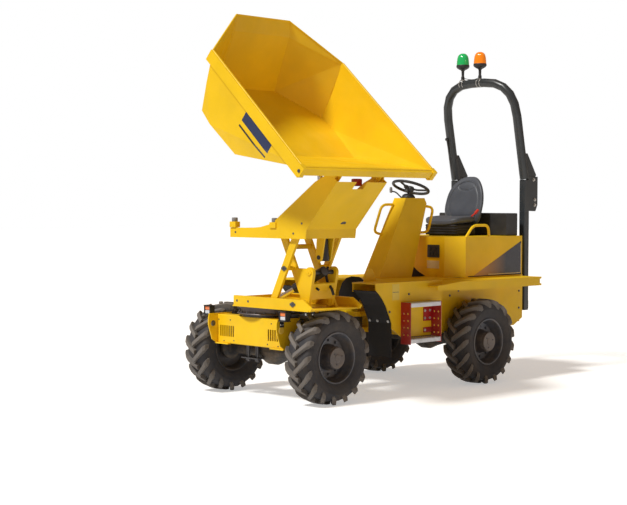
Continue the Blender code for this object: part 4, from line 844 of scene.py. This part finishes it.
HUB = Vector((0.0, 1.690, 1.757))
LEAN = Vector((0.0, 0.35, 0.94)).normalized()
HAND_RADIUS = 0.165
SPOKES = 3
wheel_turn = facing(HUB, LEAN)
angles = [2 * math.pi * i / 64 for i in range(64)]
ring = [Vector((HAND_RADIUS * math.cos(a), HAND_RADIUS * math.sin(a), 0.0)) for a in angles]
rim_tube = tube(ring, 0.0132, closed=True, sides=5)
spokes = []
for index in range(SPOKES):
    turn = 2.0 * math.pi * (index / SPOKES + 0.25)
    out = Vector((math.cos(turn), math.sin(turn), 0.0))
    bent = [out * 0.015 + Vector((0, 0, -0.012)), out * 0.060 + Vector((0, 0, -0.016)), out * 0.158]
    spokes.append(tube(bent, 0.0095, 0.03))
boss = [(0.0, -0.040), (0.026, -0.040), (0.034, -0.024), (0.034, -0.006), (0.026, 0.006), (0.0, 0.010)]
spokes.append(lathe(boss, (0, 0, 0), "Z", 40))
spokes.append(rod((0, 0, -0.098), (0, 0, -0.030), 0.018, 24, 0.001))
ball = [(0.0, 0.022), (0.018, 0.026), (0.023, 0.040), (0.018, 0.054), (0.0, 0.058)]
knob = [rod((0.140, -0.085, 0.0), (0.140, -0.085, 0.030), 0.008, 16),
        lathe(ball, (0.140, -0.085, 0.0), "Z", 24)]
whole = [rim_tube] + spokes + knob
for piece in whole:
    piece.data.transform(wheel_turn)
place("steering_rim", whole, PLASTIC, "rear_machine", "black_plastic", ["steering_wheel"])

dome = [(0.0, 1.658), (0.060, 1.658), (0.064, 1.666), (0.050, 1.690), (0.030, 1.700), (0.0, 1.702)]
top = [lathe(dome, (0.0, 1.655, 0), "Z", 36)]
top.append(tube([(-0.030, 1.600, 1.660), (-0.085, 1.580, 1.715), (-0.125, 1.560, 1.722)], 0.0065, 0.03))
top.append(tube([(0.030, 1.600, 1.660), (0.080, 1.580, 1.690), (0.105, 1.570, 1.715)], 0.0055, 0.03))
place("column_cap", top, PLASTIC, "rear_machine", "black_plastic")
grip = lathe([(0.0, 0.0), (0.011, 0.002), (0.014, 0.030), (0.010, 0.052), (0.0, 0.055)],
             (-0.126, 1.559, 1.706), "Z", 20)
place("lever_grip", [grip], GREY_CAP, "rear_machine", "black_plastic")


# Cowl and body: films, switch panel, labels, bolts

film = [(2.030, 0.952), (2.745, 0.952), (2.745, 1.262)]
for name, side in SIDES:
    low, high = x_range(side, COWL_SIDE_X + 0.0004, COWL_SIDE_X + 0.0012)
    place("cowl_film_" + name, [panel(film, "X", low, high, 0.0)], FADE_FILM,
          "rear_machine", "black_plastic")
border = []
for side in (-1, 1):
    low, high = x_range(side, COWL_SIDE_X + 0.0010, COWL_SIDE_X + 0.0018)
    foot_line = [(2.250, 0.958), (2.742, 0.958), (2.742, 0.964), (2.250, 0.964)]
    rear_line = [(2.734, 0.958), (2.740, 0.958), (2.740, 1.240), (2.734, 1.236)]
    border += [panel(line, "X", low, high, 0.0) for line in (foot_line, rear_line)]
place("cowl_film_border", border, PALE_FILM, "rear_machine", "yellow_paint")

gusset = [(1.598, 0.9455), (1.795, 0.9455), (1.700, 0.990), (1.625, 1.040), (1.605, 1.000)]
place("column_gusset", [panel(gusset, "X", 0.085, 0.095, 0.003)], SHEET_RUBBER,
      "rear_machine", "rubber_sheet")

dash = [block((0.118, 1.786, 1.120), (0.255, 1.801, 1.235), 0.004, 3)]
dash += [rod((x, 1.788, 1.200), (x, 1.776, 1.200), 0.014, 24, 0.002) for x in (0.155, 0.217)]
dash += [block((x, 1.780, 1.138), (x + 0.020, 1.789, 1.168), 0.003, 2) for x in (0.139, 0.176, 0.213)]
place("switch_panel", dash, PLASTIC, "rear_machine", "black_plastic")


def sticker(name, low, high, axis, inner, outer, look, slot):
    """A thin rectangular film from one corner to the other, across an axis."""
    corners = [low, (high[0], low[1]), high, (low[0], high[1])]
    place(name, [panel(corners, axis, inner, outer, 0.0)], look, "rear_machine", slot)


sticker("cowl_label", (0.105, 1.02), (0.250, 1.09), "Y", 1.7985, 1.7996, PALE_FILM, "yellow_paint")
sticker("side_label", (0.792, 0.795), (0.882, 0.930), "X", BODY_SIDE_X + 0.0001, BODY_SIDE_X + 0.0011,
        LABEL_FILM, "yellow_paint")
sticker("label_lines", (0.798, 0.861), (0.876, 0.865), "X", BODY_SIDE_X + 0.0009, BODY_SIDE_X + 0.0014,
        DARK_FILM_AND_SLOT_SHADE, "black_paint")

front_spots = ((1.004, 0.840), (0.760, 0.700))
rear_spots = ((1.700, 0.790), (1.820, 0.830), (2.715, 0.790), (2.715, 0.630))
table = []
for face, spots in ((BODY_SIDE_X + 0.0002, front_spots), (COWL_SIDE_X + 0.0005, rear_spots)):
    table += [((side * face, y, z), (side, 0, 0)) for side in (1, -1) for y, z in spots]
bolts("chassis_bolts", table, "rear_machine", DARK_STEEL_AND_HOLE_SHADE, "black_paint", 0.008, 0.006)
flap_face = (0.0, -0.955, -0.296)
table = [((side * x, 0.7815, 0.616), flap_face) for side in (1, -1) for x in (0.345, 0.434, 0.555)]
bolts("flap_bolts", table, "rear_machine", ZINC, "chrome_rod", 0.009, 0.006)
strips = []
for side in (-1, 1):
    low, high = x_range(side, COWL_SIDE_X, COWL_SIDE_X + 0.002)
    strips.append(block((low, 1.960, 0.9452), (high, 2.748, 0.9530), 0.0005))
place("cowl_seal", strips, SHEET_RUBBER, "rear_machine", "rubber_sheet")
ball = [(0.0, -0.020), (0.012, -0.016), (0.020, -0.004), (0.020, 0.004), (0.012, 0.016), (0.0, 0.020)]
coupling = [lathe(ball, (0.330, 0.560, 0.755), "Y", 32)]
coupling.append(rod((0.330, 0.580, 0.755), (0.330, 0.640, 0.755), 0.010, 20))
place("pressure_vessel", coupling, GREY_CAP, "rear_machine", "grey_paint")


# Seat

SEAT_CUTS = 59
SEAM_DEPTH, SEAM_WIDTH, PUFF = 0.20, 0.050, 0.07


def seat_form(centre, square, grooves, shape):
    """A form blown out from a cube, with sewn grooves on its face, bent by the shape function."""
    bpy.ops.mesh.primitive_cube_add(size=2.0)
    obj = bpy.context.object
    only(obj)
    bpy.ops.object.mode_set(mode="EDIT")
    bpy.ops.mesh.subdivide(number_cuts=SEAT_CUTS)
    bpy.ops.object.mode_set(mode="OBJECT")
    for vertex in obj.data.vertices:
        x, y, z = vertex.co
        spread = (abs(x) ** square + abs(y) ** square + abs(z) ** square) ** (1.0 / square)
        u, v, w = x / spread, y / spread, z / spread
        for across, up, wide, high, power in grooves:
            reach = (abs((u - across) / wide) ** power + abs((v - up) / high) ** power) ** (1.0 / power)
            w -= SEAM_DEPTH * max(0.0, w) * math.exp(-((reach - 1.0) / SEAM_WIDTH) ** 2)
            w += PUFF * max(0.0, w) * max(0.0, 1.0 - reach ** 2)
        vertex.co = Vector(shape(u, v, w)) + Vector(centre)
    face_out(obj)
    return smooth(obj, 80)


def back_shape(u, v, w):
    """The back narrows to a round top, hollows at the middle and bulges lower down; its front is w > 0."""
    narrow = 1.0 - 0.34 * max(0.0, (v + 0.25) / 1.25) ** 2 - 0.06 * max(0.0, -v - 0.4) ** 2
    lean = 0.040 * v + 0.020 * v * v - 0.014 * math.exp(-((v + 0.45) / 0.35) ** 2)
    wing = 0.034 * abs(u) ** 2.2
    return (0.224 * u * narrow, lean - wing - 0.036 * w, 0.238 * v)


def cushion_shape(u, v, w):
    """The cushion is dished for the driver and rolls down at its front edge."""
    dish = 0.018 * abs(u) ** 2.2 + 0.010 * v - 0.022 * max(0.0, -v - 0.35) ** 1.5
    return (0.208 * u, 0.170 * v, dish + 0.034 * w)


BACK_SEAMS = ((0.0, -0.05, 0.78, 0.84, 2.6), (0.0, 0.62, 0.50, 0.17, 2.0))
CUSHION_SEAMS = ((0.0, 0.10, 0.66, 0.72, 3.0),)
back = place("seat_back_pad", [seat_form((0.0, 2.500, 1.630), 3.0, BACK_SEAMS, back_shape)], VINYL,
             "rear_machine", "seat_vinyl", ["seat_back"])
cushion = place("seat_cushion_pad", [seat_form((0.0, 2.252, 1.452), 4.2, CUSHION_SEAMS, cushion_shape)],
                VINYL, "rear_machine", "seat_vinyl", ["seat_cushion"])
buckle = [rod((0.218, 2.300, 1.492), (0.224, 2.345, 1.520), 0.007, 16),
          rod((0.224, 2.345, 1.520), (0.228, 2.385, 1.552), 0.013, 20, 0.003)]
place("seat_buckle", buckle, BUCKLE, "rear_machine", "red_paint")
folds = []
for index in range(4):
    z = 1.332 + 0.024 * index
    fold = [(-0.170, 2.110, z), (0.170, 2.110, z), (0.170, 2.400, z), (-0.170, 2.400, z), (-0.170, 2.110, z)]
    folds.append(tube(fold, 0.0135, 0.04))
place("seat_bellows", folds, SHEET_RUBBER, "rear_machine", "rubber_sheet")


# Steps

for name, side in SIDES:
    reds, treads = [], []
    low_x, high_x = x_range(side, BODY_SIDE_X, 0.700)
    holes = [(side * x, z, 0.009) for x in (0.622, 0.668) for z in (0.50, 0.56, 0.62, 0.68)]
    outline = [(low_x, 0.420), (high_x, 0.420), (high_x, 0.775), (low_x, 0.775)]
    for start, end in ((0.903, 0.911), (1.297, 1.305)):
        reds.append(panel(outline, "Y", start, end, 0.0015, holes))
    foot_in, foot_out = x_range(side, BODY_SIDE_X, 0.598)
    reds.append(block((foot_in, 1.190, 0.600), (foot_out, 1.2975, 0.720), 0.002))
    reds.append(block((foot_in, 1.190, 0.500), (foot_out, 1.2975, 0.545), 0.002))
    reds.append(block((foot_in, 0.910, 0.545), (foot_out, 0.935, 0.730), 0.002))
    place("step_plates_" + name, reds, RED, "rear_machine", "red_paint", ["steps_" + name])
    tread_in, tread_out = x_range(side, 0.593, 0.699)
    edge_in, edge_out = x_range(side, 0.6975, 0.7005)
    for z in (0.430, 0.735):
        treads.append(block((tread_in, 0.9105, z), (tread_out, 1.2975, z + 0.034), 0.002))
        for index in range(13):
            y = 0.925 + 0.030 * index
            low, high = (tread_in + 0.002, y, z + 0.032), (tread_out - 0.002, y + 0.014, z + 0.0395)
            treads.append(block(low, high, 0.0025))
        for index in range(19):
            y = 0.918 + 0.0203 * index
            treads.append(block((edge_in, y, z + 0.006), (edge_out, y + 0.010, z + 0.030), 0.001, 1))
    place("step_treads_" + name, treads, TREAD_ZINC, "rear_machine", "chrome_rod")
    spots = ((1.205, 0.625), (1.205, 0.690), (1.270, 0.625), (1.270, 0.690), (1.205, 0.522))
    table = [((side * 0.598, y, z), (side, 0, 0)) for y, z in spots]
    bolts("step_bolts_" + name, table, "rear_machine", ZINC, "chrome_rod", 0.009, 0.006)


# Roll bar

LEGS_X, JOINT_Z, BAR_TOP, POST_Y = 0.420, 1.840, 2.800, 2.840
HOOP_LEAN = 0.198 / (BAR_TOP - JOINT_Z)
HOOP_RADIUS, HOOP_BEND = 0.042, 0.340
FOLD_Y = 2.965


def hoop_point(x, z):
    """A point of the leaning hoop's middle line or top, at a place across and a height."""
    return (x, POST_Y - HOOP_LEAN * (z - JOINT_Z), z)


corner_z = BAR_TOP - 0.035
arch = [hoop_point(-LEGS_X, JOINT_Z + 0.0085), hoop_point(-LEGS_X, corner_z), hoop_point(LEGS_X, corner_z),
        hoop_point(LEGS_X, JOINT_Z + 0.0085)]
hoop = [tube(arch, HOOP_RADIUS, HOOP_BEND, sides=8)]
for side in (-1, 1):
    x = side * LEGS_X
    corners = ((0.004, 2.090), (0.040, 2.090), (0.180, 1.886), (0.152, 1.850), (0.146, 1.825), (0.110, 1.815),
               (0.047, 1.880), (0.010, 1.900))
    ear = [(POST_Y + back, z) for back, z in corners]
    hoop.append(panel(ear, "X", x - 0.007, x + 0.007, 0.002))
    hoop.append(rod((x - 0.025, FOLD_Y, JOINT_Z), (x + 0.025, FOLD_Y, JOINT_Z), 0.010, 20, 0.001))
place("roll_hoop", hoop, BAR_PAINT, "roll_bar", "black_paint", ["hoop"])
pins = []
for side in (-1, 1):
    x = side * LEGS_X
    for y, z in ((FOLD_Y, JOINT_Z), (2.985, 1.650), (2.985, 1.600)):
        pins += [((x + way * 0.0155, y, z), (way, 0, 0)) for way in (1, -1)]
bolts("bracket_bolts", pins, "rear_machine", ZINC, "chrome_rod", 0.012, 0.009)
strut = [rod((-0.424, 2.703, 2.240), (-0.424, 2.752, 2.070), 0.008, 20),
         rod((-0.424, 2.752, 2.070), (-0.424, 2.800, 1.905), 0.014, 20),
         block((-0.436, 2.690, 2.228), (-0.412, 2.745, 2.256), 0.004),
         rod((-0.440, 2.703, 2.241), (-0.408, 2.703, 2.241), 0.010, 20)]
place("roll_bar_strut", strut, BLACK, "roll_bar", "black_paint")

for name, along, look in (("green", -0.178, GREEN), ("amber", 0.032, AMBER)):
    foot = Vector(hoop_point(along, BAR_TOP))
    dome = [(0.0, 0.262), (0.018, 0.260), (0.034, 0.252), (0.047, 0.236), (0.054, 0.214), (0.058, 0.180),
            (0.060, 0.146), (0.0, 0.146)]
    place("beacon_dome_" + name, [lathe(dome, foot, "Z", 48, 35.0)], look,
          "roll_bar", name + "_lens", ["beacon_" + name])
    base = [(0.0, 0.1495), (0.060, 0.1495), (0.063, 0.145), (0.063, 0.130), (0.055, 0.118), (0.036, 0.106),
            (0.022, 0.100), (0.014, 0.090), (0.0125, 0.040), (0.017, 0.034), (0.017, 0.004),
            (0.0125, -0.0008), (0.0, -0.0008)]
    stem = [lathe(base, foot, "Z", 40, 35.0)]
    angles = [math.pi * i / 8 for i in range(17)]
    clamp = []
    for x in (along - 0.018, along + 0.018):
        middle = Vector((x, foot.y, foot.z - 0.035))
        loop = [middle + Vector((0, math.cos(a), math.sin(a))) * 0.0385 for a in angles]
        clamp.append(tube(loop, 0.0035, 0.002))
    clamp.append(block((along - 0.022, foot.y - 0.016, foot.z - 0.002),
                       (along + 0.022, foot.y + 0.016, foot.z + 0.006), 0.001))
    place("beacon_base_" + name, stem, PLASTIC, "roll_bar", "black_plastic")
    place("beacon_clamp_" + name, clamp, ZINC, "roll_bar", "chrome_rod")
wire_start = Vector(hoop_point(-0.165, BAR_TOP)) + Vector((0, 0.010, 0.020))
wire_end = Vector(hoop_point(0.018, BAR_TOP)) + Vector((0, 0.010, 0.020))
wire = [wire_start, wire_start.lerp(wire_end, 0.25) + Vector((0, 0.02, -0.012)),
        wire_start.lerp(wire_end, 0.6) + Vector((0, 0.02, -0.014)), wire_end]
place("beacon_wire", [tube(wire, 0.003, 0.03)], HOSE, "roll_bar", "black_plastic")


# Floor and light

bpy.ops.mesh.primitive_plane_add(size=120.0, location=(0.0, 0.0, 0.0))
floor = bpy.context.object
floor.name = "floor"
look = Nodes("floor_white")
grain = look.noise(3.0)
tone = look.mix(look.ramp(grain, ((0.3, 0.0), (0.8, 0.3))), (0.80, 0.80, 0.80), (0.78, 0.78, 0.78))
look.set(Base_Color=tone, Roughness=0.95)
seen = look.add("ShaderNodeLightPath")
glow = look.add("ShaderNodeEmission")
glow.inputs["Color"].default_value = (1.0, 1.0, 1.0, 1.0)
glow.inputs["Strength"].default_value = 0.42
both = look.add("ShaderNodeAddShader")
choose = look.add("ShaderNodeMixShader")
shown = look.math("MAXIMUM", seen.outputs["Is Glossy Ray"], seen.outputs["Is Transmission Ray"])
shown = look.math("MAXIMUM", seen.outputs["Is Camera Ray"], shown)
output = [n for n in look.tree.nodes if n.type == "OUTPUT_MATERIAL"][0]
for source, target in (
    (look.shader.outputs[0], both.inputs[0]),
    (glow.outputs[0], both.inputs[1]),
    (shown, choose.inputs[0]),
    (look.shader.outputs[0], choose.inputs[1]),
    (both.outputs[0], choose.inputs[2]),
    (choose.outputs[0], output.inputs["Surface"]),
):
    look.link(source, target)
floor.data.materials.append(look.material)

world = bpy.data.worlds.new("studio")
bpy.context.scene.world = world
world.use_nodes = True
tree = world.node_tree
soft = tree.nodes["Background"]
soft.inputs["Color"].default_value = (1.0, 0.73, 0.52, 1.0)
soft.inputs["Strength"].default_value = 0.27
white = tree.nodes.new("ShaderNodeBackground")
white.inputs["Color"].default_value = (1.0, 1.0, 1.0, 1.0)
white.inputs["Strength"].default_value = 1.0
path = tree.nodes.new("ShaderNodeLightPath")
pick = tree.nodes.new("ShaderNodeMixShader")
most = tree.nodes.new("ShaderNodeMath")
most.operation = "MAXIMUM"
for source, target in (
    (path.outputs["Is Camera Ray"], most.inputs[0]),
    (path.outputs["Is Transmission Ray"], most.inputs[1]),
    (most.outputs[0], pick.inputs[0]),
    (soft.outputs[0], pick.inputs[1]),
    (white.outputs[0], pick.inputs[2]),
    (pick.outputs[0], tree.nodes["World Output"].inputs["Surface"]),
):
    tree.links.new(source, target)

sun_data = bpy.data.lights.new("sun", "SUN")
sun_data.energy = 3.05
sun_data.angle = math.radians(9.0)
sun_data.color = (1.0, 0.99, 0.95)
sun = bpy.data.objects.new("sun", sun_data)
sun.rotation_euler = Vector((0.06, 0.62, -0.78)).to_track_quat("-Z", "Y").to_euler()
bpy.context.scene.collection.objects.link(sun)

bpy.context.scene.view_settings.view_transform = "Standard"
